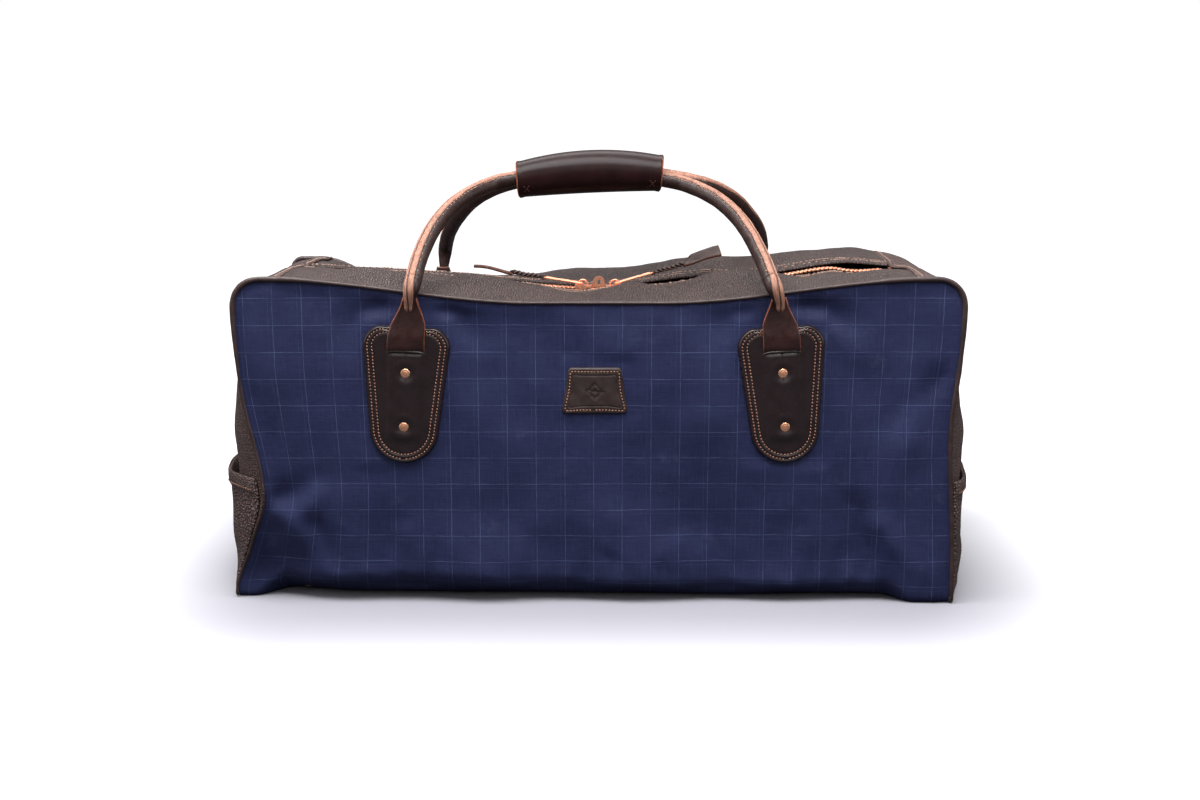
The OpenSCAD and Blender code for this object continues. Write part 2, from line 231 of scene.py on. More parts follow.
def slab(name, top, thick, uv, materials, rear=False, rim=0, bulge=0.35, side_rim=None):
    """A sheet of even thickness under a grid of points, with rounded edges. The grid's normals point out.
    rim is the material of the edges, and side_rim that of the edges along the grid's first axis."""
    m, n = top.shape[:2]
    du = np.gradient(top, axis=0)
    dv = np.gradient(top, axis=1)
    normal = unit(np.cross(du, dv))
    under = top - normal * thick
    ring = [(i, 0) for i in range(m)] + [(m - 1, j) for j in range(1, n)]
    ring += [(i, n - 1) for i in range(m - 2, -1, -1)] + [(0, j) for j in range(n - 2, 0, -1)]
    inner = [(min(max(i, 1), m - 2), min(max(j, 1), n - 2)) for i, j in ring]
    mid = []
    for (i, j), (a, b) in zip(ring, inner):
        out = unit(top[i, j] - top[a, b])
        mid.append((top[i, j] + under[i, j]) / 2 + out * thick * bulge)
    count = m * n
    verts = np.concatenate([top.reshape(-1, 3), under.reshape(-1, 3), np.array(mid)])
    i, j = np.meshgrid(np.arange(m - 1), np.arange(n - 1), indexing="ij")
    a = (i * n + j).ravel()
    quads = np.stack([a, a + n, a + n + 1, a + 1], 1)
    faces = [*quads.tolist(), *(quads[:, ::-1] + count).tolist()]
    picks = [0] * len(faces)
    size = len(ring)
    for k in range(size):
        here, after = ring[k], ring[(k + 1) % size]
        p, q = here[0] * n + here[1], after[0] * n + after[1]
        r, s = 2 * count + k, 2 * count + (k + 1) % size
        faces += [[q, p, r, s], [s, r, p + count, q + count]]
        picks += [rim if side_rim is None or here[0] == after[0] else side_rim] * 2
    flat = uv.reshape(-1, 2)
    flat = np.concatenate([flat, flat, [uv[i, j] for i, j in ring]])
    if rear:
        verts, faces = mirrored(verts, faces)
    return make(name, verts, faces, materials, flat, picks)


def sweep(name, path, sections, across, uv_around, materials, picks=None, rear=False, cap=0.35):
    """A closed bar. sections[i] holds the outline at path[i] as offsets along the bar's side and its normal.
    One outline can serve all of it. across is the bar's side direction, in one or at each point."""
    path, across = np.asarray(path, float), np.asarray(across, float)
    tangent = unit(np.gradient(path, axis=0))
    side = unit(across - tangent * np.sum(across * tangent, 1)[:, None])
    normal = np.cross(side, tangent)
    sections = np.asarray(sections, float)
    if sections.ndim == 2:
        sections = np.broadcast_to(sections, (len(path), *sections.shape))
    n, k = sections.shape[:2]
    rings = path[:, None] + sections[..., :1] * side[:, None] + sections[..., 1:] * normal[:, None]
    uv = grid_of(np.asarray(uv_around)[None], run_of(path)[:, None])
    verts, flat, faces = [rings.reshape(-1, 3)], [uv.reshape(-1, 2)], ring_faces(n - 1, k)
    picks = picks or [0] * k
    chosen = picks * (n - 1)
    for end, way in ((0, -1), (n - 1, 1)):
        reach = np.abs(sections[end]).max() * cap
        shrunk = path[end] + (rings[end] - path[end]) * 0.72 + tangent[end] * way * reach * 0.75
        tip = path[end] + tangent[end] * way * reach
        base = sum(len(v) for v in verts)
        verts += [shrunk, tip[None]]
        flat += [uv[end], uv[end][:1]]
        for j in range(k):
            a, b = end * k + j, end * k + (j + 1) % k
            c, d = base + j, base + (j + 1) % k
            quad, tri = [a, c, d, b], [c, base + k, d]
            faces += [quad[::-1], tri[::-1]] if way > 0 else [quad, tri]
            chosen += [picks[j], picks[j]]
    verts = np.concatenate(verts)
    if rear:
        verts, faces = mirrored(verts, faces)
    return make(name, verts, faces, materials, np.concatenate(flat), chosen)


def circle(radius, n=16, flat=1.0):
    a = np.linspace(0, 2 * math.pi, n, endpoint=False)
    return np.stack([np.cos(a) * radius, np.sin(a) * radius * flat], 1)


def around(radius, n=16):
    return np.linspace(0, 2 * math.pi * radius, n, endpoint=False)


def lathe(profile, n=24):
    """A closed round solid about +Z from [(radius, height), ...], which starts and ends on the axis."""
    profile = np.asarray(profile, float)
    inner = profile[1:-1]
    a = np.linspace(0, 2 * math.pi, n, endpoint=False)
    rings = grid_of(inner[:, :1] * np.cos(a), inner[:, :1] * np.sin(a), inner[:, 1:])
    verts = np.concatenate([rings.reshape(-1, 3), [[0, 0, profile[0, 1]], [0, 0, profile[-1, 1]]]])
    m = len(inner)
    faces = [[n * m, (j + 1) % n, j] for j in range(n)]
    faces += ring_faces(m - 1, n)
    faces += [[n * m + 1, (m - 1) * n + j, (m - 1) * n + (j + 1) % n] for j in range(n)]
    return verts, faces


def joined(parts):
    """One solid from several (verts, faces)."""
    faces, start = [], 0
    for verts, own in parts:
        faces += [[i + start for i in face] for face in own]
        start += len(verts)
    return np.concatenate([verts for verts, _ in parts]), faces


def frame_at(origin, x, y, z):
    """Turns local points into the bag's frame."""
    axes = np.stack([x, y, z])
    return lambda local: np.asarray(local, float) @ axes + origin


def stitch_solid():
    """One stitch along +X, 1 long and 1 thick, that dives in at both ends."""
    xs = np.array([-0.5, -0.42, -0.2, 0.0, 0.2, 0.42, 0.5])
    fat = np.array([0.12, 0.36, 0.5, 0.52, 0.5, 0.36, 0.12])
    lift = np.array([-0.55, -0.1, 0.2, 0.26, 0.2, -0.1, -0.55])
    a = np.linspace(0, 2 * math.pi, 6, endpoint=False)
    return stacked([grid_of(x, np.cos(a) * f, np.sin(a) * f + up) for x, f, up in zip(xs, fat, lift)])


STITCH, STITCH_FACES = stitch_solid()


def stitches(name, runs, rear=False, pitch=3.3 * MM, length=2.5 * MM, thick=0.85 * MM, slant=0.12,
             material=None):
    """Rows of thread. Each run is (points, normals) along a seam on a surface, or one normal for all."""
    local = STITCH * np.array([length, thick, thick * 0.8])
    parts, flat = [], []
    for points, normals in runs:
        both = resample(np.concatenate([points, np.broadcast_to(normals, points.shape)], 1), pitch)
        run = np.linalg.norm(np.diff(both[:, :3], axis=0), axis=1).sum()
        count = max(2, int(run / pitch) + 1)
        both = both[np.linspace(0, len(both) - 1, count).round().astype(int)]
        p, n = both[:, :3], unit(both[:, 3:])
        t = unit(np.gradient(p, axis=0))
        s = np.cross(n, t)
        for i in range(count):
            along = unit(t[i] + s[i] * slant)
            wide = np.cross(n[i], along)
            parts.append((local @ np.stack([along, wide, n[i]]) + p[i], STITCH_FACES))
            flat.append(local[:, :2] + [i * pitch, 0])
    verts, faces = joined(parts)
    if rear:
        verts, faces = mirrored(verts, faces)
    return make(name, verts, faces, material or thread, np.concatenate(flat))


# ---------------------------------------------------------------- materials


def srgb(r, g, b):
    """Linear colour from 0-255 values as the eye reads them."""
    return tuple(((c / 255 + 0.055) / 1.055) ** 2.4 if c > 10 else c / 3294 for c in (r, g, b)) + (1.0,)


class Nodes:
    """A short way to write a node material."""

    def __init__(self, name, rough=0.5, metal=0.0, specular=0.5):
        self.mat = bpy.data.materials.new(name)
        self.mat.use_nodes = True
        self.tree = self.mat.node_tree
        self.shader = self.tree.nodes["Principled BSDF"]
        self.set("Roughness", rough)
        self.set("Metallic", metal)
        self.set("Specular IOR Level", specular)

    def set(self, socket, value):
        target = self.shader.inputs[socket]
        if isinstance(value, bpy.types.NodeSocket):
            self.tree.links.new(value, target)
        else:
            target.default_value = value

    def add(self, kind, *values, **props):
        node = self.tree.nodes.new("ShaderNode" + kind)
        for key, value in props.items():
            setattr(node, key, value)
        for socket, value in zip(node.inputs, values):
            if isinstance(value, bpy.types.NodeSocket):
                self.tree.links.new(value, socket)
            elif value is not None:
                socket.default_value = value
        return node

    def math(self, op, *values):
        return self.add("Math", *values, operation=op).outputs[0]

    def times(self, *values):
        return self.math("MULTIPLY", *values)

    def vector(self, op, *values):
        return self.add("VectorMath", *values, operation=op).outputs[0]

    def scaled(self, vector, x, y, z=1.0):
        return self.vector("MULTIPLY", vector, (x, y, z))

    def flat(self):
        """The cloth's own flat position, in millimetres."""
        return self.scaled(self.add("UVMap", uv_map="flat").outputs[0], 1000, 1000, 1000)

    def solid(self):
        """The piece's position in space, in millimetres."""
        return self.scaled(self.add("TexCoord").outputs["Object"], 1000, 1000, 1000)

    def noise(self, vector, size, detail=3.0, rough=0.55):
        """Noise whose features are about size millimetres across."""
        node = self.add("TexNoise", vector)
        node.inputs["Scale"].default_value = 1 / size
        node.inputs["Detail"].default_value = detail
        node.inputs["Roughness"].default_value = rough
        return node.outputs[0]

    def ramp(self, value, low, high, to_low=0.0, to_high=1.0):
        return self.add("MapRange", value, low, high, to_low, to_high,
                        interpolation_type="SMOOTHSTEP").outputs[0]

    def mix(self, share, a, b):
        node = self.add("Mix", data_type="RGBA")
        for socket, value in ((0, share), (6, a), (7, b)):
            if isinstance(value, bpy.types.NodeSocket):
                self.tree.links.new(value, node.inputs[socket])
            else:
                node.inputs[socket].default_value = value
        return node.outputs[2]

    def bump(self, height, depth, under=None):
        """Relief of depth metres."""
        node = self.add("Bump")
        node.inputs["Distance"].default_value = depth
        self.tree.links.new(height, node.inputs["Height"])
        if under is not None:
            self.tree.links.new(under, node.inputs["Normal"])
        return node.outputs[0]


def waxed_canvas():
    """Navy waxed canvas with a fine windowpane check."""
    k = Nodes("waxed_canvas", rough=0.7, specular=0.2)
    at = k.flat()
    split = k.add("SeparateXYZ", at)
    u, v = split.outputs[0], split.outputs[1]
    wobble = k.times(k.math("SUBTRACT", k.noise(at, 9.0, 1), 0.5), 0.7)

    def line(axis, pitch, offset, width):
        moved = k.math("ADD", k.math("ADD", axis, offset), wobble)
        return k.ramp(k.math("PINGPONG", moved, pitch / 2), width * 0.25, width, 1.0, 0.0)

    main = k.math("MAXIMUM", line(u, 22.3, 4.0, 0.32), line(v, 20.9, 7.0, 0.32))
    faint = k.math("MAXIMUM", line(u, 22.3, 7.4, 0.27), line(v, 20.9, 10.3, 0.27))
    worn = k.ramp(k.noise(at, 14.0, 4), 0.32, 0.62, 0.25, 1.0)
    main = k.times(main, worn)
    faint = k.times(k.times(faint, worn), 0.28)
    lines = k.math("MAXIMUM", main, faint)

    warp = k.noise(k.scaled(at, 1.0, 0.03), 0.55, 2)
    weft = k.noise(k.scaled(at, 0.03, 1.0), 0.55, 2)
    threads = k.times(k.math("ADD", warp, weft), 0.5)
    cloud = k.noise(at, 70.0, 4)
    body = k.mix(k.ramp(cloud, 0.3, 0.7), srgb(29, 33, 66), srgb(38, 43, 78))
    body = k.mix(k.ramp(threads, 0.36, 0.66, 0.0, 0.5), body, srgb(48, 54, 92))
    chalk = k.times(k.ramp(k.noise(at, 38.0, 6, 0.68), 0.57, 0.74), 0.16)
    specks = k.times(k.ramp(k.noise(at, 2.4, 2), 0.74, 0.82), 0.35)
    body = k.mix(k.math("MAXIMUM", chalk, specks), body, srgb(92, 98, 128))
    k.set("Base Color", k.mix(k.times(lines, 0.4), body, srgb(106, 122, 166)))
    k.set("Roughness", k.ramp(k.noise(at, 30.0, 5, 0.6), 0.35, 0.7, 0.52, 0.74))
    weave_u = k.math("SINE", k.times(u, 2 * math.pi / 0.85))
    weave_v = k.math("SINE", k.times(v, 2 * math.pi / 0.75))
    weave = k.times(weave_u, weave_v)
    relief = k.bump(weave, 0.05 * MM)
    relief = k.bump(threads, 0.16 * MM, relief)
    relief = k.bump(k.noise(at, 12.0, 4), 0.5 * MM, relief)
    k.set("Normal", k.bump(lines, 0.06 * MM, relief))
    return k.mat


def pebbled_leather(name, dark, light, grain, depth, rough):
    """Grained leather. grain is the size of a pebble in millimetres."""
    k = Nodes(name, rough=rough, specular=0.42)
    at = k.flat()
    warp = k.add("TexNoise", at)
    warp.inputs["Scale"].default_value = 0.5 / grain
    moved = k.vector("ADD", at, k.scaled(warp.outputs[1], grain, grain, 0))
    cells = k.add("TexVoronoi", moved, feature="DISTANCE_TO_EDGE", voronoi_dimensions="2D")
    cells.inputs["Scale"].default_value = 1 / grain
    pebbles = k.ramp(cells.outputs[0], 0.0, 0.34)
    tone = k.noise(at, 45.0, 4)
    body = k.mix(k.ramp(tone, 0.2, 0.8), srgb(*dark), srgb(*light))
    # Painted shade: the creases between the pebbles, where the relief dips, are coloured darker.
    creases = k.times(k.math("SUBTRACT", 1.0, pebbles), 0.9)
    body = k.mix(creases, body, srgb(*(c * 0.4 for c in dark)))
    k.set("Base Color", body)
    shine = k.noise(at, 7.0, 5, 0.62)
    k.set("Roughness", k.ramp(shine, 0.3, 0.72, rough - 0.1, rough + 0.12))
    relief = k.bump(pebbles, depth * MM)
    relief = k.bump(k.noise(at, grain * 0.35, 2), depth * 0.25 * MM, relief)
    k.set("Normal", k.bump(k.noise(at, 9.0, 3), 0.5 * MM, relief))
    return k.mat


def smooth_leather(name, dark, light, rough, coat=0.0, space="flat", grain=0.3, even=1.0, specular=0.45):
    """Pull-up leather: smooth, with pores, creases and cloudy wax; even is how much its shine varies."""
    k = Nodes(name, rough=rough, specular=specular)
    k.set("Coat Weight", coat)
    k.set("Coat Roughness", 0.32)
    at = k.flat() if space == "flat" else k.solid()
    cloud = k.noise(at, 17.0, 5, 0.6)
    body = k.mix(k.ramp(cloud, 0.28, 0.72), srgb(*dark), srgb(*light))
    scuffs = k.noise(k.scaled(at, 0.35, 1.0), 1.6, 5, 0.7)
    body = k.mix(k.ramp(scuffs, 0.6, 0.8, 0.0, 0.3 * even), body, srgb(*(min(255, c * 1.8) for c in light)))
    k.set("Base Color", body)
    k.set("Roughness", k.ramp(k.noise(at, 8.0, 4), 0.3, 0.7, rough - 0.09 * even, rough + 0.14 * even))
    pores = k.noise(at, 0.5, 2)
    relief = k.bump(pores, min(0.07, grain * 0.23) * MM)
    k.set("Normal", k.bump(k.noise(at, 5.0, 4, 0.65), grain * MM, relief))
    return k.mat


def raw_edge(name, dark, light):
    """The cut, fibrous edge of veg-tanned leather."""
    k = Nodes(name, rough=0.68, specular=0.3)
    at = k.flat()
    fibres = k.noise(k.scaled(at, 1.0, 0.18), 0.75, 5, 0.7)
    body = k.mix(k.ramp(fibres, 0.3, 0.7), srgb(*dark), srgb(*light))
    patches = k.noise(at, 11.0, 4)
    body = k.mix(k.ramp(patches, 0.5, 0.75, 0.0, 0.55), body, srgb(*(c * 0.62 for c in dark)))
    k.set("Base Color", body)
    k.set("Normal", k.bump(fibres, 0.3 * MM))
    return k.mat


def copper_metal(name, colour, rough, metal):
    """Polished copper plate, duller where it has been handled."""
    k = Nodes(name, rough=rough, metal=metal)
    at = k.solid()
    cloud = k.noise(at, 3.0, 4)
    dull = tuple(c * 0.7 for c in colour)
    k.set("Base Color", k.mix(k.ramp(cloud, 0.4, 0.8, 0.0, 0.6), srgb(*colour), srgb(*dull)))
    k.set("Roughness", k.ramp(k.noise(at, 0.9, 3), 0.3, 0.7, rough - 0.06, rough + 0.14))
    k.set("Normal", k.bump(k.noise(k.scaled(at, 1.0, 0.2), 0.3, 2), 0.03 * MM))
    return k.mat


def thread_cord(name, dark, light):
    """Waxed thread with its twist."""
    k = Nodes(name, rough=0.55, specular=0.4)
    at = k.flat()
    split = k.add("SeparateXYZ", at)
    turn = k.math("ADD", k.times(split.outputs[0], 5.5), k.times(split.outputs[1], 5.0))
    twist = k.math("SINE", turn)
    # The colour follows the twist: painted shade in its grooves and painted highlight on its ridges.
    k.set("Base Color", k.mix(k.ramp(twist, -1.0, 1.0), srgb(*dark), srgb(*light)))
    k.set("Normal", k.bump(twist, 0.08 * MM))
    return k.mat


def woven(name, dark, light, pitch, rough=0.8, space="flat"):
    """Plain-woven cloth or webbing with threads pitch millimetres apart."""
    k = Nodes(name, rough=rough, specular=0.25)
    at = k.flat() if space == "flat" else k.solid()
    split = k.add("SeparateXYZ", at)
    over = k.math("SINE", k.times(split.outputs[0], 2 * math.pi / pitch))
    under = k.math("SINE", k.times(split.outputs[1], 2 * math.pi / pitch))
    weave = k.times(over, under)
    # Its tone follows the weave a little, as painted shade where threads dip under, besides its random tone.
    tone = k.math("ADD", k.times(weave, 0.12), k.noise(at, 20.0, 4))
    k.set("Base Color", k.mix(k.ramp(tone, 0.25, 0.75), srgb(*dark), srgb(*light)))
    k.set("Normal", k.bump(weave, 0.12 * MM))
    return k.mat


canvas = waxed_canvas()
top_leather = pebbled_leather("top_leather", (69, 52, 49), (91, 72, 68), 1.9, 0.7, 0.46)
end_leather = pebbled_leather("end_leather", (96, 73, 69), (124, 98, 93), 2.4, 1.1, 0.44)
pocket_leather = pebbled_leather("pocket_leather", (95, 72, 68), (128, 102, 96), 3.0, 1.9, 0.42)
piping_leather = smooth_leather("piping_leather", (44, 31, 30), (64, 47, 45), 0.42)
patch_leather = smooth_leather("patch_leather", (31, 20, 22), (38, 27, 29), 0.28, coat=0.3, grain=0.03,
                                even=0.3)
label_leather = smooth_leather("label_leather", (42, 31, 30), (58, 45, 43), 0.42)
strap_leather = smooth_leather("strap_leather", (40, 21, 20), (58, 33, 30), 0.34)
grip_leather = smooth_leather("grip_leather", (27, 11, 13), (37, 17, 18), 0.31, grain=0.05,
                               even=0.3, specular=0.2)
roll_leather = smooth_leather("roll_leather", (36, 21, 19), (56, 38, 34), 0.38)
braid_leather = smooth_leather("braid_leather", (44, 30, 28), (70, 50, 45), 0.42)
tan_edge = raw_edge("tan_edge", (128, 84, 68), (188, 142, 122))
strap_edge = raw_edge("strap_edge", (112, 58, 40), (156, 90, 62))
tail_edge = raw_edge("tail_edge", (72, 44, 36), (112, 72, 58))
# dark_groove: darker brown in the groove of a roll's seam, as painted shade, and the cut edge of a patch.
dark_groove = smooth_leather("dark_groove", (70, 44, 36), (96, 62, 50), 0.6)
copper = copper_metal("copper", (252, 184, 146), 0.3, 0.8)
zip_copper = copper_metal("zip_copper", (240, 168, 136), 0.32, 0.8)
thread = thread_cord("thread", (122, 78, 62), (190, 138, 114))
brown_thread = thread_cord("brown_thread", (126, 96, 84), (186, 152, 136))
tack_thread = thread_cord("tack_thread", (70, 34, 28), (104, 58, 46))
tape_cloth = woven("zip_tape", (24, 20, 20), (38, 33, 32), 0.9)
lining_cloth = woven("lining_cloth", (142, 122, 96), (168, 148, 120), 1.2)
board = woven("board", (30, 28, 28), (44, 40, 38), 2.0, 0.7)
core_cord = woven("core_cord", (170, 150, 120), (205, 188, 160), 1.6, 0.8, "solid")
hidden_leather = smooth_leather("hidden_leather", (58, 46, 42), (80, 64, 58), 0.6, space="solid")


# ---------------------------------------------------------------- the bag's outline

# Each edge of a panel pinches in above the bottom corner: depth, height, reach below and above.
PINCH = {
    (-1, False): (17 * MM, 88 * MM, 36 * MM, 66 * MM),
    (1, False): (6.5 * MM, 140 * MM, 74 * MM, 46 * MM),
    (-1, True): (14 * MM, 110 * MM, 60 * MM, 60 * MM),
    (1, True): (16 * MM, 95 * MM, 48 * MM, 64 * MM),
}


def half_width(x, z, rear):
    """Half length of the panel at height z, on the side where x is."""
    left, right = (HALF - depth * hump(z, centre, below, above)
                   for depth, centre, below, above in (PINCH[-1, rear], PINCH[1, rear]))
    return np.where(x < 0, left + 11 * MM * hump(z, 4 * MM, 26 * MM), right)


def panel_top(x, rear):
    """Height of a panel's top edge before its corners are rounded."""
    if rear:
        right = 13 * MM * rise(x, 50, 140)
        left = 16 * MM * rise(-x, 198, 55) - 6 * MM * smooth(-x / (90 * MM))
        return ZIP_Z - 1.2 * MM + right + np.where(x < 0, left, 0)
    return ZIP_Z + 2 * MM + 17.7 * MM * rise(np.abs(x), 50, 200)


def corner_drop(x, rear):
    """How far a rounded corner falls below the straight edge."""
    r = np.where((x < 0) & rear, TIGHT_R, CORNER_R)
    over = np.clip((np.abs(x) - (HALF - r)) / r, 0, 1)
    return r * (1 - np.sqrt(np.maximum(1 - over**2, 0)))


def roll_under(x):
    """Reach in Y and Z of the turn from a panel into the bottom: wide at the middle, tight at the feet."""
    start = np.where(x < 0, 243 * MM, 224 * MM)
    foot = smooth((np.abs(x) - start) / (26 * MM))
    waves = 2.5 * MM * np.sin(np.abs(x) * 38 + 0.6) * (1 - foot)
    left = fall(x, 60, 200)
    reach_y = (33 + 8 * left) * MM * (1 - foot) + 4 * MM * foot + waves
    return reach_y, (22 + 6 * left) * MM * (1 - foot) + 6 * MM * foot


FOOT_BACK = 16 * MM  # how far the front's left foot stands back


def near_floor(z):
    """1 at the lower edge of the bag and 0 a hand's width above it."""
    return fall(z, 95, 80)


# Soft folds of the canvas: start, end, half width and height, outwards positive.
FRONT_FOLDS = (
    ((-258, 84), (-206, 102), 8, -3.4),
    ((-254, 76), (-214, 38), 9, 3.6),
    ((-222, 88), (-246, 36), 9, 2.6),
    ((-224, 62), (-196, 20), 9, -3.4),
    ((-260, 118), (-238, 190), 9, -1.4),
    ((244, 156), (222, 60), 12, 4.2),
    ((262, 178), (212, 132), 10, -3.2),
    ((222, 62), (250, 12), 11, 4.4),
    ((202, 76), (218, 12), 10, -3.6),
    ((158, 238), (206, 218), 10, -5.0),
    ((172, 222), (214, 190), 9, 2.6),
    ((-166, 236), (-202, 216), 9, -3.6),
    ((112, 232), (74, 208), 10, -2.8),
    ((-114, 232), (-80, 208), 10, -3.8),
    ((60, 44), (96, 12), 14, 2.0),
    ((-64, 40), (-104, 12), 15, 2.0),
    ((8, 36), (-6, 8), 16, -1.6),
    ((146, 60), (132, 10), 13, -1.6),
    ((-150, 56), (-140, 12), 12, 1.8),
)
REAR_FOLDS = (
    ((-250, 110), (-206, 84), 8, -3.0),
    ((-246, 90), (-214, 30), 9, 2.8),
    ((250, 96), (204, 112), 8, -3.0),
    ((248, 84), (212, 34), 9, 3.0),
    ((-176, 228), (-214, 214), 9, -2.4),
    ((174, 234), (208, 220), 9, -2.6),
    ((-60, 222), (40, 206), 16, -2.2),
    ((40, 40), (84, 10), 15, 2.0),
    ((-84, 44), (-50, 10), 14, 1.8),
)


def folds(table, x, z):
    """Height of soft ridges and valleys, each strongest at its start."""
    total = 0.0
    for (x0, z0), (x1, z1), wide, high in table:
        dx, dz = (x1 - x0) * MM, (z1 - z0) * MM
        along = ((x - x0 * MM) * dx + (z - z0 * MM) * dz) / (dx * dx + dz * dz)
        off = np.abs((x - x0 * MM) * dz - (z - z0 * MM) * dx) / math.hypot(dx, dz)
        fade = smooth((along + 0.35) / 0.35) * (1 - smooth((along - 0.25) / 0.95))
        reach = wide * MM * (1 + 0.6 * np.clip(along, 0, 1))
        total = total + high * MM * fade * np.exp(-((off / reach) ** 2))
    return total


def patch_middle(side, z, rear):
    """Middle of a patch along X at height z."""
    foot, tilt = PATCHES[side, rear]
    return side * (foot - (z - PATCH_LOW) * math.tan(tilt))


def kept_flat(x, z, rear):
    """1 where leather is sewn on, so that the canvas lies flat there, and 0 away from it."""
    total = 0.0
    for side in (-1, 1):
        across = fall(np.abs(x - patch_middle(side, z, rear)), 42, 12)
        total = total + across * fall(z, 236, 12) * rise(z, 106, 12)
    if not rear:
        total = total + fall(np.abs(x), 36, 12) * fall(z, 204, 12) * rise(z, 144, 12)
    return np.clip(total, 0, 1)


PANEL_UNDER = 52 * MM  # how far a panel runs on under the bag


def panel_surface(rear):
    """The outside of a canvas panel as a grid, from its top edge to under the bag, in the front's frame."""
    s = eased(241)[:, None]
    t = np.linspace(0, 1, 125)[None]
    x0 = s * HALF
    top = panel_top(x0, rear) - corner_drop(x0, rear)
    v = top + t * (-PANEL_UNDER - top)
    x = x0 - np.sign(s) * np.abs(s) ** 5 * (HALF - half_width(x0, v, rear))
    reach_y, reach_z = roll_under(x0)
    bend = (reach_y + reach_z) / 2 * 1.2
    turn = np.clip((reach_z - v) / bend, 0, math.pi / 2)
    past = np.maximum(0, reach_z - v - bend * math.pi / 2)
    z = np.where(v > reach_z, v, reach_z * (1 - np.sin(turn))) + 0.2 * MM
    y = -FACE_Y + reach_y * (1 - np.cos(turn)) + past
    edge = smooth((1 - np.abs(s)) / 0.05) * rise(top - v, 0, 12)
    free = edge * (1 - kept_flat(x, v, rear)) * rise(v, -6, 16)
    out = folds(REAR_FOLDS if rear else FRONT_FOLDS, x, v)
    out = out + 1.5 * MM * ripple(5 + rear, 95 * MM, x, v * 0.8)
    out = out + 0.45 * MM * ripple(15 + rear, 34 * MM, x, v)
    low = near_floor(v)
    out = out + 2.4 * MM * low * np.sin(x * 52 + 2.2 * rear + 9 * v)
    out = out + 0.5 * MM * low * ripple(25 + rear, 17 * MM, x, v * 0.7)
    y = y - free * out
    # The left foot stands a little further back, and both feet turn outwards.
    if not rear:
        y = y + FOOT_BACK * rise(-x, 190, 80) * low
    return grid_of(x, y, z), grid_of(x0, v)


panels = {word: panel_surface(rear) for word, rear in FACES.items()}


def build_panels():
    for word, rear in FACES.items():
        grid, flat = panels[word]
        obj = slab(f"canvas_{word}", grid[:, ::-1], 1.3 * MM, flat[:, ::-1], canvas, rear)
        attach(obj, "bag_body", "canvas", f"{word}_panel")


def build_piping():
    """Leather over cord, sewn into the seam round each panel."""
    for word, rear in FACES.items():
        grid, _ = panels[word]
        low = int(np.argmin(np.abs(grid[0, :, 1] + FACE_Y - 22 * MM)))
        du, dv = np.gradient(grid, axis=0), np.gradient(grid, axis=1)
        normal = unit(np.cross(dv, du))
        line = np.concatenate([grid[0, low:0:-1], grid[:, 0], grid[-1, 1:low + 1]])
        face = np.concatenate([normal[0, low:0:-1], normal[:, 0], normal[-1, 1:low + 1]])
        step = 2.6 * MM
        both = resample(np.concatenate([line, face], 1), step)
        line, face = both[:, :3], unit(both[:, 3:])
        for _ in range(4):
            line[1:-1] = (line[:-2] + 2 * line[1:-1] + line[2:]) / 4
            face[1:-1] = (face[:-2] + 2 * face[1:-1] + face[2:]) / 4
        out = unit(np.cross(face, np.gradient(line, axis=0)))
        # Fullest round the top corners, and pulled thin along the top and down the left.
        x, z = line[:, :1], line[:, 2:]
        corner = rise(z, 190, 40) * rise(np.abs(x), 200, 40)
        right = rise(x, 200, 40)
        thick = 1.3 * MM + 0.8 * MM * corner + 0.5 * MM * right * (1 - corner)
        path = line + out * thick * 0.8 + face * 0.3 * MM
        path[:, 2] = np.maximum(path[:, 2], PIPE_R + 0.5 * MM)
        run = np.arange(len(path)) * step
        radius = thick[:, 0] + 0.14 * MM * ripple(31 + rear, 26 * MM, run)
        radius = radius + 0.06 * MM * ripple(33, 7 * MM, run)
        sections = np.stack([circle(r, 18) for r in radius])
        obj = sweep(f"piping_{word}_cover", path, sections, np.cross(out, np.gradient(path, axis=0)),
                    around(PIPE_R, 18), piping_leather, rear=rear, cap=0.8)
        attach(obj, "bag_body", "smooth_leather", f"piping_{word}")


# ---------------------------------------------------------------- leather top


def zip_line(x):
    """Height of the zip."""
    return ZIP_Z + RISE * (np.sqrt(x * x + (12 * MM) ** 2) - 6 * MM)


def chain_height(x):
    """Height of the tape at the teeth: it rides up a little in the open stretch at the right."""
    lift = 4.4 * MM * hump(x, 191 * MM, 32 * MM, 16 * MM)
    return ZIP_Z + RISE * np.abs(x) - 2.6 * MM + lift


def lip(x, rear):
    """How far the leather beside the zip stands above it."""
    if rear:
        return bells(x, 0.9, ((5.6, 205, 46, 30), (1.2, 80, 40, 40), (1.5, -150, 70, 70)))
    closed = bells(x, 0.9, ((3.0, -155, 42, 60), (2.8, 96, 34, 30)))
    opened = chain_height(x) - zip_line(x) - 0.2 * MM
    share = rise(x, 160, 16) * fall(x, 250, 8)
    return closed + (opened - closed) * share


# Bulges of the top leather: middle along X, middle across (0 at the piping, 1 at the zip), reaches, height.
TOP_BULGES = {
    False: ((-172, 0.26, 34, 0.14, 9.0), (-150, 0.5, 44, 0.16, -7.0), (-96, 0.5, 40, 0.22, 9.2),
            (-212, 0.6, 36, 0.24, 2.4), (-22, 0.72, 24, 0.3, -6.0), (26, 0.45, 22, 0.22, 6.8),
            (52, 0.66, 18, 0.18, -5.6), (108, 0.45, 46, 0.26, 11.6), (182, 0.6, 34, 0.26, -5.2),
            (214, 0.3, 30, 0.25, 4.8), (-50, 0.25, 34, 0.2, 3.2)),
    True: ((-176, 0.4, 40, 0.3, -10.0), (-90, 0.5, 60, 0.3, -5.0), (-20, 0.4, 40, 0.3, 4.0),
           (80, 0.55, 50, 0.35, 10.4), (170, 0.5, 44, 0.35, 5.6), (226, 0.4, 26, 0.3, 5.0)),
}


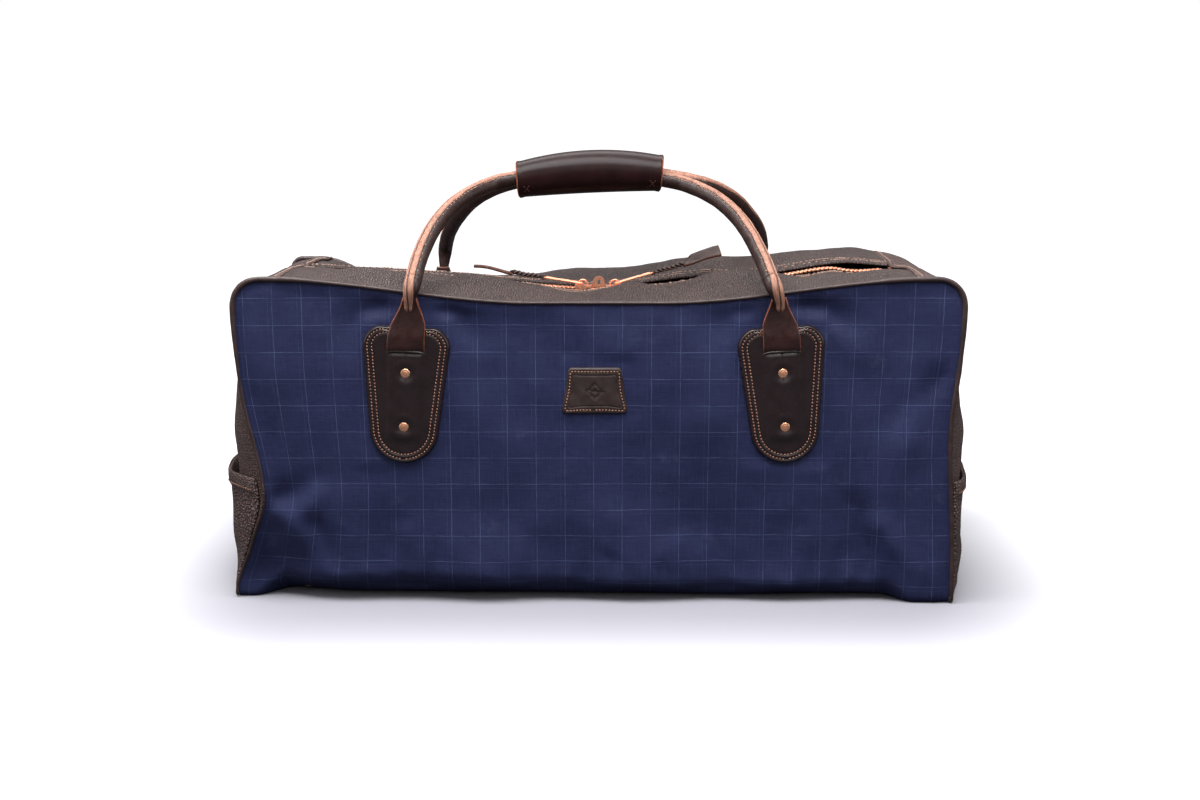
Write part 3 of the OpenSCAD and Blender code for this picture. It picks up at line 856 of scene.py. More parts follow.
def top_height(x, w, rear):
    """Height of the top leather, w from the piping at 0 to the zip at 1."""
    low = panel_top(x, rear) - corner_drop(x, rear) + PIPE_OUT + 0.8 * MM
    high = zip_line(x) + lip(x, rear)
    crown = 2.5 * MM - 1.6 * MM * rear * rise(-x, 150, 60)
    z = low + (high - low) * (0.35 * w + 0.65 * smooth(w)) + crown * np.sin(math.pi * w)
    for cx, cw, reach_x, reach_w, tall in TOP_BULGES[rear]:
        away = ((x - cx * MM) / (reach_x * MM)) ** 2 + ((w - cw) / reach_w) ** 2
        z = z + tall * MM * np.exp(-away) * smooth(w / 0.12)
    fine = smooth(w / 0.2) * smooth((1.06 - w) / 0.2)
    z = z + 0.7 * MM * fine * ripple(41 + rear, 42 * MM, x, w * 0.11)
    return z + 0.25 * MM * fine * ripple(43 + rear, 15 * MM, x, w * 0.11)


def top_y(w):
    """Distance from the piping to the zip edge, for w from 0 to 1, in the front's frame."""
    return -TUCK_Y + w * STRIP_WIDE


def top_point(x, w, rear):
    return grid_of(x, top_y(w), top_height(x, w, rear))


def top_run(x, w, rear):
    """(points, normals) along a line on the top leather."""
    step = 0.5 * MM
    here = top_point(x, w, rear)
    normal = unit(np.cross(top_point(x + step, w, rear) - here, top_point(x, w + step, rear) - here))
    return here, normal * np.sign(normal[:, 2:3] + 1e-9)


def blend_top(piece, word, side, slot, *nodes):
    """Bakes the piece's place into its mesh. A right half stands for the nodes, which it hides."""
    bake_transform(piece)
    if nodes and side > 0:
        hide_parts(*nodes)


def build_top():
    """Four top strips, one for each quarter of the top, from the middle of the bag to its end."""
    w = np.concatenate([np.linspace(0, 0.9, 34), np.linspace(0.92, 1, 7)])
    for quarter, word, rear, side in QUARTERS:
        xs = np.linspace(0, SEAM_X + 1 * MM, 96) * side
        grid = top_point(xs[:, None], w[None], rear)
        # The edge along the zip is skived and turns down a little.
        grid[..., 2] -= 0.9 * MM * smooth((w - 0.965) / 0.035) ** 2
        flat = grid_of(xs[:, None], w[None] * STRIP_WIDE)
        obj = slab(f"top_{quarter}", grid[::side], LEATHER, flat[::side], top_leather, rear, bulge=0.5)
        blend_top(obj, word, side, "pebbled_leather", f"top_strip_{word}", f"top_edge_{word}")
        xs = np.linspace(1.6 * MM, SEAM_X - 8 * MM, 240) * side
        rows = [top_run(xs, 1 - inset / STRIP_WIDE, rear) for inset in (4.2 * MM, 9.6 * MM)]
        obj = stitches(f"top_stitches_{quarter}", rows, rear, pitch=3.6 * MM, thick=1.0 * MM,
                       material=brown_thread)
        blend_top(obj, word, side, "pebbled_leather")


def build_zip():
    """Tapes and two rows of interlocking teeth, in halves."""
    pitch = 3.5 * MM
    tooth, tooth_faces = tooth_solid()
    ys = np.linspace(-17 * MM, -3.1 * MM, 8)
    for quarter, word, rear, side in QUARTERS:
        xs = np.linspace(0, ZIP_END - 1 * MM, 80) * side
        z = chain_height(xs)[:, None] + np.where(ys < -9 * MM, -0.7 * MM, 0)[None]
        z = np.minimum(z, top_height(xs[:, None], (TUCK_Y + ys[None]) / STRIP_WIDE, rear) - 2.4 * MM)
        grid = grid_of(xs[:, None], ys[None], z)
        flat = grid[..., :2].copy()
        obj = slab(f"zip_tape_{quarter}", grid[::side], 0.7 * MM, flat[::side], tape_cloth, rear)
        blend_top(obj, word, side, "zip_tape", f"zip_tape_{word}")
        # Each tooth leans with the rise of the zip, and front and rear teeth take turns.
        cos, sin = math.cos(math.atan(RISE) * side), math.sin(math.atan(RISE) * side)
        x, y, z = tooth.T
        leaning = np.stack([x * cos - z * sin, y, x * sin + z * cos], 1)
        first = pitch / 4 + (pitch / 2 if rear else 0)
        parts = []
        for i in range(int((ZIP_END - 5 * MM - first) / pitch)):
            x = (first + i * pitch) * side
            points = leaning + np.array([x, 0, chain_height(x) + 0.5 * MM])
            parts.append(mirrored(points, tooth_faces) if rear else (points, tooth_faces))
        verts, faces = joined(parts)
        obj = make(f"zip_chain_{quarter}", verts, faces, zip_copper, verts[:, [0, 2]])
        blend_top(obj, word, side, "copper", f"zip_teeth_{word}")


def tooth_solid():
    """A cast tooth: broad where it grips the tape, with a narrower rounded head past the middle."""
    outline = [(-1.3, -4.3), (1.3, -4.3), (1.3, -2.4), (0.95, -1.6), (0.95, 0.2), (0.6, 0.95), (-0.6, 0.95),
               (-0.95, 0.2), (-0.95, -1.6), (-1.3, -2.4)]
    outline = np.array(outline) * MM
    centre = outline.mean(0)
    rings = []
    for z, shrink in ((-1.0, 0.82), (-0.75, 1.0), (0.75, 1.0), (1.15, 0.8)):
        flat = centre + (outline - centre) * shrink
        rings.append(np.column_stack([flat, np.full(len(flat), z * MM)]))
    return stacked(rings)


# ---------------------------------------------------------------- ends and pockets

END_DEPTH = TUCK_Y
MIDDLE_X = {-1: 298 * MM, 1: 297 * MM}  # how far each end stands out at its middle
CROWN = {-1: 0.9 * MM, 1: 8.0 * MM}  # of its corner above the zip
BELLY = 15 * MM  # how far the middle stands out past the corner
END_CORNER = 36 * MM


def end_arc(side):
    """Middle of the corner at mid depth."""
    return MIDDLE_X[side] - BELLY - END_CORNER, float(zip_line(SEAM_X)) + CROWN[side] - END_CORNER


def end_surface(side, a, y):
    """An end piece: a from 0 at the seam on top, over the corner at 1, to 2 at the floor."""
    rear = y > 0
    over = np.clip(a, 0, 1)
    down = np.clip(a - 1, 0, 1)
    angle = (1 - over) * math.pi / 2

    def edge(is_rear):
        round_r = TIGHT_R if is_rear and side < 0 else CORNER_R
        r = round_r + PIPE_OUT - 1 * MM
        cx = HALF - round_r
        cz = panel_top(np.array(side * cx), is_rear) - round_r
        x = np.where(a < 1, cx + r * np.cos(angle), 0)
        z = np.where(a < 1, cz + r * np.sin(angle), cz * (1 - down))
        wide = half_width(np.array(side), z, is_rear) + PIPE_OUT - 1 * MM
        return np.where(a < 1, np.minimum(x, wide), wide), z

    cx, cz = end_arc(side)
    mid_x = np.where(a < 1, cx + END_CORNER * np.cos(angle), 0)
    mid_z = np.where(a < 1, cz + END_CORNER * np.sin(angle), cz * (1 - down))
    sag = MIDDLE_X[side] - BELLY + 16 * MM * smooth(down * 2.1) - 4 * MM * smooth((down - 0.75) / 0.3)
    mid_x = np.where(a < 1, mid_x, sag)
    share = 1 - np.clip(np.abs(y) / END_DEPTH, 0, 1) ** 3.2
    front, back = edge(False), edge(True)
    ex, ez = np.where(rear, back[0], front[0]), np.where(rear, back[1], front[1])
    x = ex + (mid_x - ex) * share
    z = ez + (mid_z - ez) * share
    # The start of the piece lies on the top strips.
    w = np.clip((END_DEPTH - np.abs(y)) / STRIP_WIDE, 0, 1)
    seam_x = np.full_like(w, side * SEAM_X)
    strip = np.where(rear, top_height(seam_x, w, True), top_height(seam_x, w, False))
    seat = (0.1 + 1.0 * rise(np.abs(y), 5, 9)) * MM
    near = (1 - smooth(over * 1.6)) * (a < 1)
    start_x = SEAM_X - 7 * MM
    first_x = start_x + over * (x - start_x)
    x = np.where(a < 1, x * (1 - near) + first_x * near, x)
    z = np.where(a < 1, z * (1 - near) + (strip + seat) * near, z)
    free = share * smooth(over * 3)
    x = x + free * (1.6 * MM * ripple(51 + side, 70 * MM, y, z) + 0.6 * MM * ripple(53 + side, 24 * MM, y, z))
    x = x + 1.8 * MM * free * hump(np.abs(y), 70 * MM, 26 * MM) * np.sin(z * 60 + side)
    back = 5 * MM * fall(z, 9, 9)
    if side < 0:
        back = back + np.where(rear, 0, FOOT_BACK) * near_floor(z)
    y = y * (1 - back / END_DEPTH)
    return grid_of(x * side, y, z)


def end_at(side, y, z):
    """The end's surface at a height, below its corner."""
    return end_surface(side, 2 - np.clip(z / end_arc(side)[1], 0, 1), y)


def build_ends():
    for word, side in SIDES.items():
        a = np.concatenate([np.linspace(0, 1, 30), np.linspace(1, 2, 62)[1:]])
        y = eased(81) * END_DEPTH
        grid = end_surface(side, a[:, None], y[None])
        grid[..., 2] = np.maximum(grid[..., 2], 0.9 * MM)
        flat = grid_of(y[None], run_of(grid[:, 40])[:, None])
        obj = slab(f"end_{word}", grid[:, ::side], LEATHER, flat[:, ::side], end_leather)
        attach(obj, "bag_body", "pebbled_leather", f"end_panel_{word}")
        rows = []
        for half in (-1, 1):
            ys = np.linspace(9 * MM, END_DEPTH - 5 * MM, 80) * half
            here = end_surface(side, np.full_like(ys, 0.12), ys)
            rows.append((here + [0, 0, 0.1 * MM], (0, 0, 1)))
        obj = stitches(f"end_stitches_{word}", rows, pitch=3.6 * MM, material=brown_thread)
        attach(obj, "bag_body", "pebbled_leather")


POCKET_HIGH = 96 * MM
POCKET_DEPTH = 113 * MM
GAPE = {-1: (4.5 * MM, 3.5 * MM), 1: (2.5 * MM, 1.0 * MM)}  # how far each pocket's belly and mouth stand out


def pocket_surface(side, t, y, lift=0.0):
    """The outside of a pocket: t from 0 at the floor to 1 at its mouth."""
    share = 1 - np.clip(np.abs(y) / POCKET_DEPTH, 0, 1) ** 2
    high = POCKET_HIGH - 3 * MM * share + 2 * MM * np.sin(y * 34 + side)
    z = t * high
    base = end_at(side, y, z)
    belly, mouth = GAPE[side]
    off = 2.4 * MM + share * (belly * np.sin(math.pi / 2 * t) + mouth * t**3)
    wander = 3 * ripple(61 + side, 60 * MM, y)
    pleats = share * np.clip(1 - t, 0, 1) ** 0.7 * 1.7 * MM * np.sin(y * 150 + wander)
    rough = share * 0.9 * MM * ripple(63 + side, 22 * MM, y, z) * (1 - 0.6 * t)
    foot = -2.0 * MM * share * (1 - smooth(t / 0.12))
    x = base[..., 0] + side * (off + pleats + rough + foot + lift)
    return grid_of(x, base[..., 1], z + 0.8 * MM)


def build_pockets():
    for word, side in SIDES.items():
        y = eased(111) * POCKET_DEPTH
        t = np.linspace(1, 0, 44)
        grid = pocket_surface(side, t[:, None], y[None])
        flat = grid_of(y[None], t[:, None] * POCKET_HIGH)
        obj = slab(f"pocket_{word}", grid[:, ::side], LEATHER, flat[:, ::side], pocket_leather)
        attach(obj, "bag_body", "pebbled_leather", f"end_pocket_{word}")
        hem = np.linspace(1.012, 0.885, 12)
        puff = 1.3 * MM * np.sin(np.linspace(0, math.pi, 12)) ** 0.6 + 0.5 * MM
        grid = pocket_surface(side, hem[:, None], y[None], puff[:, None])
        flat = grid_of(y[None], hem[:, None] * POCKET_HIGH)
        obj = slab(f"pocket_hem_{word}", grid[:, ::side], 1.2 * MM, flat[:, ::side], end_leather, bulge=0.6)
        attach(obj, "bag_body", "pebbled_leather")
        ys = np.linspace(-POCKET_DEPTH + 4 * MM, POCKET_DEPTH - 4 * MM, 200)
        here = pocket_surface(side, np.full_like(ys, 0.915), ys, 1.75 * MM)
        obj = stitches(f"pocket_stitches_{word}", [(here, (side, 0, 0))], pitch=3.8 * MM, length=2.9 * MM)
        attach(obj, "bag_body", "pebbled_leather")


# ---------------------------------------------------------------- patches, label and rivets


def inset_rings(outline, bone, insets, steps):
    """Rings inside an outline, at fixed insets and then in even steps to a bone line."""
    a, b = np.array(bone[0]), np.array(bone[1])
    along = np.clip((outline - a) @ (b - a) / max((b - a) @ (b - a), 1e-12), 0, 1)
    count = max(1, round(float(np.linalg.norm(b - a)) / (1.5 * MM)))
    foot = a + np.round(along * count)[:, None] / count * (b - a)
    gap = np.linalg.norm(outline - foot, axis=1, keepdims=True)
    last = insets[-1]
    depth = [np.full_like(gap, d) for d in insets]
    depth = np.stack(depth + [last + (gap - last) * k / steps for k in range(1, steps + 1)])
    return outline + (foot - outline) * (depth / gap), depth[..., 0]


def tile(name, outline, bone, insets, steps, height, place, materials, rear=False):
    """A flat leather piece: its face stands height(x, z, inset) in front of its back plane.
    materials holds that of the face and that of the cut edge."""
    rings, depth = inset_rings(outline, bone, insets, steps)
    k, n = rings.shape[:2]
    tall = height(rings[..., 0], rings[..., 1], depth)
    face = np.stack([rings[..., 0], -tall, rings[..., 1]], -1)
    edge = grid_of(outline[:, 0], 0.0, outline[:, 1])
    inner = face[-1] * [1, 0, 1]
    local = np.concatenate([edge, face.reshape(-1, 3), inner])
    faces = ring_faces(k + 1, n)
    faces += [[(k + 1) * n + j, (k + 1) * n + (j + 1) % n, (j + 1) % n, j] for j in range(n)]
    picks = [1] * n + [0] * ((k + 1) * n)
    verts = place(local)
    flat = local[:, [0, 2]]
    if rear:
        verts, faces = mirrored(verts, faces)
    obj = make(name, verts, faces, materials, flat, picks)
    # The innermost ring meets itself along the bone.
    solid = bmesh.new()
    solid.from_mesh(obj.data)
    bmesh.ops.remove_doubles(solid, verts=solid.verts, dist=1e-6)
    bmesh.ops.dissolve_degenerate(solid, edges=solid.edges, dist=1e-6)
    solid.to_mesh(obj.data)
    solid.free()
    return obj


def arc_points(cx, cz, r, a, b, n):
    t = np.radians(np.linspace(a, b, n))
    return np.stack([cx + r * np.cos(t), cz + r * np.sin(t)], 1)


def patch_outline():
    """A shield with a blunt top and a round foot, from its top middle, clockwise."""
    crown = np.array([[0, 109.5], [9, 108.8], [16, 107.2]])
    shoulder = arc_points(17.2, 91.6, 16.6, 74, 4, 10)
    foot = arc_points(0, 27, 27, -7, -90, 14)
    right = np.concatenate([crown, shoulder, foot]) * MM
    return resample(np.concatenate([right, right[::-1] * [-1, 1], right[:1]]), 1.5 * MM)[:-1]


def patch_place(side, rear):
    """Frame of a patch: its lowest point on the panel's face, leaning inwards."""
    foot, tilt = PATCHES[side, rear]
    lean = -side * tilt
    x_axis = (math.cos(lean), 0, -math.sin(lean))
    z_axis = (math.sin(lean), 0, math.cos(lean))
    return frame_at((side * foot, -FACE_Y + 0.3 * MM, PATCH_BASE), x_axis, (0, 1, 0), z_axis)


def patch_height(x, z, depth):
    """Relief of a handle patch: rounded edge, sewn channels, the strap's tail beneath, dimples at rivets."""
    edge = 3.5 * MM * (1 - np.exp(-(depth / (0.9 * MM)) ** 1.3 * 1.2)) + 0.15 * MM
    rows = -0.5 * MM * sum(hump(depth, seam, 1.0 * MM) for seam in PATCH_SEAMS)
    swell = 0.35 * MM * hump(depth, 5.5 * MM, 1.0 * MM) + 0.3 * MM * hump(depth, 1.9 * MM, 1.1 * MM)
    under = SLOT_Z - PATCH_BASE - z
    tail = fall(np.abs(x), 15.5, 5) * rise(under, 0, 3) * fall(under, 74, 10)
    tall = edge + rows + swell + 1.9 * MM * tail
    for rivet in RIVET_Z:
        r = np.hypot(x, z - (rivet - PATCH_BASE))
        tall = tall - 1.5 * MM * hump(r, 0, 5.2 * MM) + 0.35 * MM * hump(r, 8.2 * MM, 2.4 * MM)
    return tall + 0.12 * MM * ripple(71, 13 * MM, x, z)


def build_patches():
    outline = patch_outline()
    bone = ((0, 27 * MM), (0, 89 * MM))
    insets = [0, 0.25, 0.6, 1.1, 1.7, 2.4, 3.2, 3.7, 4.2, 4.9, 5.6, 6.2, 6.8, 7.3, 7.8, 8.5, 9.4, 10.6, 12]
    insets = [d * MM for d in insets]
    lip_half = 14.6 * MM
    lip_x = np.linspace(-lip_half, lip_half, 25)
    for quarter, _, rear, side in QUARTERS:
        place = patch_place(side, rear)
        obj = tile(f"patch_{quarter}_leather", outline, bone, insets, 12, patch_height, place,
                   [patch_leather, dark_groove], rear)
        attach(obj, "bag_body", "smooth_leather", f"patch_{quarter}")
        rows = []
        for inset in PATCH_SEAMS:
            x, z = inset_rings(outline, bone, [inset], 1)[0][0].T
            # The strap hides the rows at the top, so each starts beside it.
            hidden = (np.abs(x) < 14.4 * MM) & (z > 60 * MM)
            start = int(np.argmax(~hidden & np.roll(hidden, 1)))
            x, z, hidden = (np.roll(v, -start) for v in (x, z, hidden))
            x, z = x[~hidden], z[~hidden]
            tall = patch_height(x, z, np.full_like(x, inset)) + 0.12 * MM
            rows.append((place(np.stack([x, -tall, z], 1)), (0, -1, 0)))
        obj = stitches(f"patch_stitches_{quarter}", rows, rear, pitch=2.6 * MM, length=1.6 * MM,
                       thick=1.0 * MM, slant=0.35)
        attach(obj, "bag_body", "smooth_leather")
        # The raised lip of the slot
        share = np.abs(lip_x) / lip_half
        lip_z = SLOT_Z - PATCH_BASE - 0.3 * MM - 1.6 * MM * share**6
        path = place(grid_of(lip_x, -4.6 * MM, lip_z))
        sections = np.stack([circle(1.15 * MM * (1 - 0.75 * s**8), 12) for s in share])
        obj = sweep(f"slot_lip_{quarter}", path, sections, (0, 1, 0), around(1 * MM, 12), patch_leather,
                    rear=rear)
        attach(obj, "bag_body", "smooth_leather")


# Radius and height of a rivet's dome, from its middle to its neck, mm
RIVET_DOME = ((0, 1.75), (1.2, 1.72), (1.9, 1.62), (2.15, 1.5), (2.4, 1.58), (3.2, 1.36), (3.8, 0.95),
              (4.05, 0.5), (3.95, 0.1), (3.6, -0.1), (1.55, -0.1))


def build_rivets():
    """Copper rivets with a low dome outside and a set end over its burr inside."""
    seat = 3.5 * MM
    end = -seat - (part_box("rivets_front")[1].y + FACE_Y)
    profile = [(r * MM, h * MM) for r, h in RIVET_DOME]
    profile += [(1.55 * MM, end + 1 * MM), (2.3 * MM, end + 0.8 * MM), (2.1 * MM, end), (0, end - 0.2 * MM)]
    verts, faces = lathe(profile, 28)
    faces = [f[::-1] for f in faces]
    for word, rear in FACES.items():
        parts = []
        for side in SIDES.values():
            for rivet in RIVET_Z:
                local = np.stack([verts[:, 0], -(verts[:, 2] + seat), verts[:, 1] + rivet - PATCH_BASE], 1)
                points = patch_place(side, rear)(local)
                parts.append(mirrored(points, faces) if rear else (points, faces))
        points, all_faces = joined(parts)
        obj = make(f"rivet_set_{word}", points, all_faces, copper, points[:, [0, 2]])
        attach(obj, "bag_body", "copper", f"rivets_{word}")


LABEL_SEAM = 3.2 * MM  # the label's row of stitches, from its edge


def label_outline():
    right = np.concatenate([
        np.array([[0, 36.5], [8, 36.5]]),
        arc_points(17.6, 33.3, 3.2, 85, 8, 6),
        arc_points(22.1, 3.2, 3.2, 0, -90, 6),
        np.array([[0, 0.0]]),
    ]) * MM
    return resample(np.concatenate([right, right[-2::-1] * [-1, 1]]), 1.0 * MM)[:-1]


def label_height(x, z, depth):
    """Relief of the label: a sewn edge and a plain pressed lozenge on a line."""
    edge = 2.1 * MM * (1 - np.exp(-(depth / (0.7 * MM)) ** 1.3 * 1.2)) + 0.1 * MM
    tall = edge - 0.3 * MM * hump(depth, LABEL_SEAM, 0.8 * MM) - 0.3 * MM * hump(depth, 6.3 * MM, 0.5 * MM)
    lozenge = np.abs(x) / (5.0 * MM) + np.abs(z - 18 * MM) / (6.0 * MM)
    return tall - 0.8 * MM * hump(lozenge, 1.0, 0.2) - 0.8 * MM * smooth((0.5 - lozenge) / 0.2)


def build_label():
    lo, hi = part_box("label")
    low = ((lo.x + hi.x) / 2 - 3 * MM, -FACE_Y + 0.3 * MM, lo.z - 2 * MM)
    place = frame_at(low, (1, 0, 0), (0, 1, 0), (0, 0, 1))
    outline = label_outline()
    bone = ((-9 * MM, 18 * MM), (9 * MM, 18 * MM))
    insets = [d * MM for d in (0, 0.25, 0.6, 1.1, 1.8, 2.6, 3.2, 3.8, 4.8, 5.6, 6.0, 6.3, 6.6, 7.0, 7.8)]
    obj = tile("label_leather", outline, bone, insets, 16, label_height, place, [label_leather, tan_edge])
    attach(obj, "bag_body", "smooth_leather", "label")
    ring = inset_rings(outline, bone, [LABEL_SEAM], 1)[0][0]
    x, z = np.concatenate([ring, ring[:1]]).T
    tall = label_height(x, z, np.full_like(x, LABEL_SEAM)) + 0.1 * MM
    points = place(np.stack([x, -tall, z], 1))
    obj = stitches("label_stitches", [(points, (0, -1, 0))], pitch=2.5 * MM, length=1.7 * MM, thick=0.9 * MM)
    attach(obj, "bag_body", "smooth_leather")


# ---------------------------------------------------------------- handles

FOOT_Y, FOOT_Z = -130.5 * MM, 258.5 * MM  # where the stiff part of each roll begins
GRIP_Y = -8.6 * MM
ROLL_R = 6.3 * MM
ROLL_STEP = 3 * MM  # between the sections of a roll
CORE_R = 3.5 * MM
# Lower ends of the rolls along X, mm
ROLL_END = {(-1, False): -143.5, (1, False): 137, (-1, True): -143, (1, True): 149}
# Middle line of each arch in its own plane, from the left foot: along X and up the slope
ARCHES = {
    False: ((-139.5, 0), (-137, 28), (-129, 64), (-114, 97), (-91, 121), (-64, 133), (-34, 137.5),
            (-4, 138.5), (26, 136.5), (54, 130), (77, 118.5), (97, 99), (113, 69), (124, 31), (130, 0)),
    True: ((-140.5, 0), (-135, 25), (-124.5, 54), (-108, 87), (-87, 112), (-61, 129), (-32, 136), (0, 138.5),
           (32, 137), (62, 131), (91, 117), (114, 93), (134, 54), (144, 26), (149, 0)),
}
ARCH_TOP = 138.5


def arch_path(rear):
    """Middle of the stiff roll from the left foot to the right one, in the front's frame."""
    knots = np.array(ARCHES[rear])
    line = []
    for k in range(len(knots) - 1):
        a, b = knots[k], knots[k + 1]
        before, after = knots[max(k - 1, 0)], knots[min(k + 2, len(knots) - 1)]
        line.append(bezier(a, a + (b - before) / 6, b - (after - a) / 6, b, 9)[:-1])
    line = np.concatenate([*line, knots[-1:]])
    up = line[:, 1] / ARCH_TOP
    # The arch leans in to the grip, with a slight bow.
    bow = 2 * MM * np.sin(math.pi * np.clip(up, 0, 1))
    y = FOOT_Y + (GRIP_Y - FOOT_Y) * np.minimum(1, up * 1.07 + 0.4 * np.maximum(0, up - 0.8)) - bow * 0.5
    z = FOOT_Z + (GRIP_Z - 2 * MM - FOOT_Z) * up + bow * 0.85
    return np.stack([line[:, 0] * MM, y, z], 1)


# Outline of a roll: angles from the middle of its seam, radius against the roll's own, and what shows there:
# leather, tan edge, or the seam's groove in painted shade.
SEAM_HALF = 54
SEAM_TURN = math.radians(-50)  # outwards from the arch and towards the bag's outside, half and half
ROLL_SECTION = [(-54, 0.96, 1), (-51, 1.03, 1), (-38, 1.05, 1), (-26, 1.05, 1), (-15, 1.01, 1), (-9, 0.94, 2),
                (-3, 0.84, 2), (3, 0.84, 2), (9, 0.94, 1), (15, 1.01, 1), (26, 1.05, 1), (38, 1.05, 1),
                (51, 1.03, 1), (54, 0.96, 0)]
ROLL_SECTION += [(a, 1.0, 0) for a in range(68, 300, 14)]


def roll_sections(turn, radii, seed):
    """Sections of a roll whose seam faces turn, an angle from the bar's side to its normal."""
    angle = np.radians([s[0] for s in ROLL_SECTION])
    shape = np.array([s[1] for s in ROLL_SECTION])
    run = np.arange(len(radii)) * ROLL_STEP
    wander = 0.06 * ripple(seed, 30 * MM, run)
    uneven = 1 + 0.012 * ripple(seed + 1, 12 * MM, run)
    a = angle[None] + (turn + wander)[:, None]
    r = (radii * uneven)[:, None] * shape[None]
    return np.stack([np.cos(a) * r, np.sin(a) * r], -1)


ROLL_UV = np.radians([s[0] for s in ROLL_SECTION]) * ROLL_R
ROLL_PICKS = [s[2] for s in ROLL_SECTION]
ROLL_MATERIALS = [roll_leather, tan_edge, dark_groove]


def build_rolls():
    for word, rear in FACES.items():
        path = resample(arch_path(rear), ROLL_STEP)
        tangent = unit(np.gradient(path, axis=0))
        slope = unit(np.array([0, GRIP_Y - FOOT_Y, GRIP_Z - FOOT_Z]))
        across = np.cross(np.cross(np.array([1.0, 0, 0]), slope), tangent)
        sections = roll_sections(SEAM_TURN, np.full(len(path), ROLL_R), 81 + rear)
        obj = sweep(f"roll_{word}", path, sections, across, ROLL_UV, ROLL_MATERIALS, ROLL_PICKS, rear,
                    cap=0.05)
        attach(obj, f"handle_{word}", "handle_leather", f"handle_roll_{word}")
        core = sweep(f"core_{word}", path[1:-1], circle(CORE_R, 12), across[1:-1], around(CORE_R, 12),
                     core_cord, rear=rear)
        attach(core, f"handle_{word}", "core_cord", f"handle_core_{word}")
        side = unit(across - tangent * np.sum(across * tangent, 1)[:, None])
        normal = np.cross(side, tangent)
        a = SEAM_TURN - math.radians(SEAM_HALF + 12)
        way = side * math.cos(a) + normal * math.sin(a)
        rows = [(path[2:-2] + way[2:-2] * ROLL_R * 1.005, way[2:-2])]
        obj = stitches(f"roll_stitches_{word}", rows, rear, pitch=3.4 * MM, length=2.4 * MM, thick=0.75 * MM)
        attach(obj, f"handle_{word}", "handle_leather")
        for side_word, sign in SIDES.items():
            build_neck(word, side_word, sign, path, rear)


# Half width of a strap, and how far it stands off the panel, against height, mm
STRAP_HALF = ((196, 205, 218, 225, 232, 238, 245), (13.0, 14.0, 13.8, 12.8, 9.6, 6.8, 4.4))
STRAP_OFF = ((196, 201, 206, 215, 232, 245), (2.0, 3.4, 6.0, 7.0, 6.0, 5.0))


NECK_LOW = {False: 238.5 * MM, True: 233.5 * MM}  # where the rolls begin, in front and behind


def build_neck(word, side_word, sign, path, rear):
    """The soft lower end of a roll, and the flat strap that it grows out of."""
    foot = path[0] if sign < 0 else path[-1]
    inner = path[2] if sign < 0 else path[-3]
    way = unit(inner - foot)
    low = np.array([ROLL_END[sign, rear] * MM, -132.0 * MM, NECK_LOW[rear]])
    line = bezier(low, low + np.array([0, -2.0, 8]) * MM, foot - way * 9 * MM, foot, 16)
    t = np.linspace(0, 1, len(line))
    radii = ROLL_R * (0.6 + 0.4 * smooth(t * 1.3))
    # At the bottom the seam faces the front; by the stiff roll it has turned outwards.
    turn = SEAM_TURN + (math.radians(-90) - SEAM_TURN) * (1 - smooth(t))
    sections = roll_sections(turn if sign < 0 else -turn, radii, 91)
    obj = sweep(f"roll_end_{word}_{side_word}", line, sections, (sign, 0, 0), ROLL_UV, ROLL_MATERIALS,
                ROLL_PICKS, rear, cap=0.8)
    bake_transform(obj)
    if sign > 0:
        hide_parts(f"handle_necks_{word}")

    # The strap: as wide as its slot, and narrowing into the neck that is rolled up.
    z = np.linspace(196, 239 if rear else 245, 33) * MM
    c = np.linspace(-1, 1, 15)
    narrow = rise(z, 222, 18)
    level = z / MM
    half = np.interp(level + 5 * rear * smooth((level - 212) / 10), *STRAP_HALF) * MM
    y = -(FACE_Y + np.interp(level, *STRAP_OFF) * MM)
    join = rise(z, 212, 28)
    drift = patch_middle(sign, z, rear) * (1 - join) + low[0] * join
    x = drift[:, None] + c[None] * half[:, None]
    cupped = y[:, None] - (narrow[:, None] * 1.4 * MM) * np.abs(c[None]) ** 2.2
    cupped = cupped - 0.35 * MM * (1 - c[None] ** 2)
    grid = grid_of(x, cupped, z[:, None])
    flat = grid_of(c[None] * half[:, None], z[:, None])
    obj = slab(f"strap_{word}_{side_word}", grid[::-1], 2.4 * MM, flat[::-1], [strap_leather, strap_edge],
               rear, rim=1, bulge=0.2)
    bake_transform(obj)
    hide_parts(f"tab_{word}_{side_word}")


# The wrap's section: half height and half width at its ends, what its middle has more, and how round it is
WRAP_TALL, WRAP_WIDE = 14.4 * MM, 18.6 * MM
WRAP_MORE_TALL, WRAP_MORE_WIDE = 3.1 * MM, 0.8 * MM
WRAP_ROUND = 0.86


def wrap_surface(x, a):
    """The front half of the grip wrap: a from 0 at the top to 1 at the bottom."""
    u = np.clip(x / WRAP_HALF, -1, 1)
    bow = 1 - u**2
    angle = a * math.pi
    middle = GRIP_Z - 4.1 * MM * u**2 + 2.6 * MM * u
    flare = 0.7 * MM * smooth((np.abs(x) - WRAP_HALF + 4 * MM) / (4 * MM))
    tall = WRAP_TALL + WRAP_MORE_TALL * bow + flare
    wide = WRAP_WIDE + WRAP_MORE_WIDE * bow + flare
    y = -0.25 * MM - wide * np.sin(angle) ** WRAP_ROUND
    z = middle + np.sign(np.cos(angle)) * np.abs(np.cos(angle)) ** WRAP_ROUND * tall
    dent = 0.35 * MM * ripple(95, 40 * MM, x, angle * 0.012)
    y = y - dent * np.sin(angle)
    return grid_of(x * (1 - 0.06 * a), y, z)


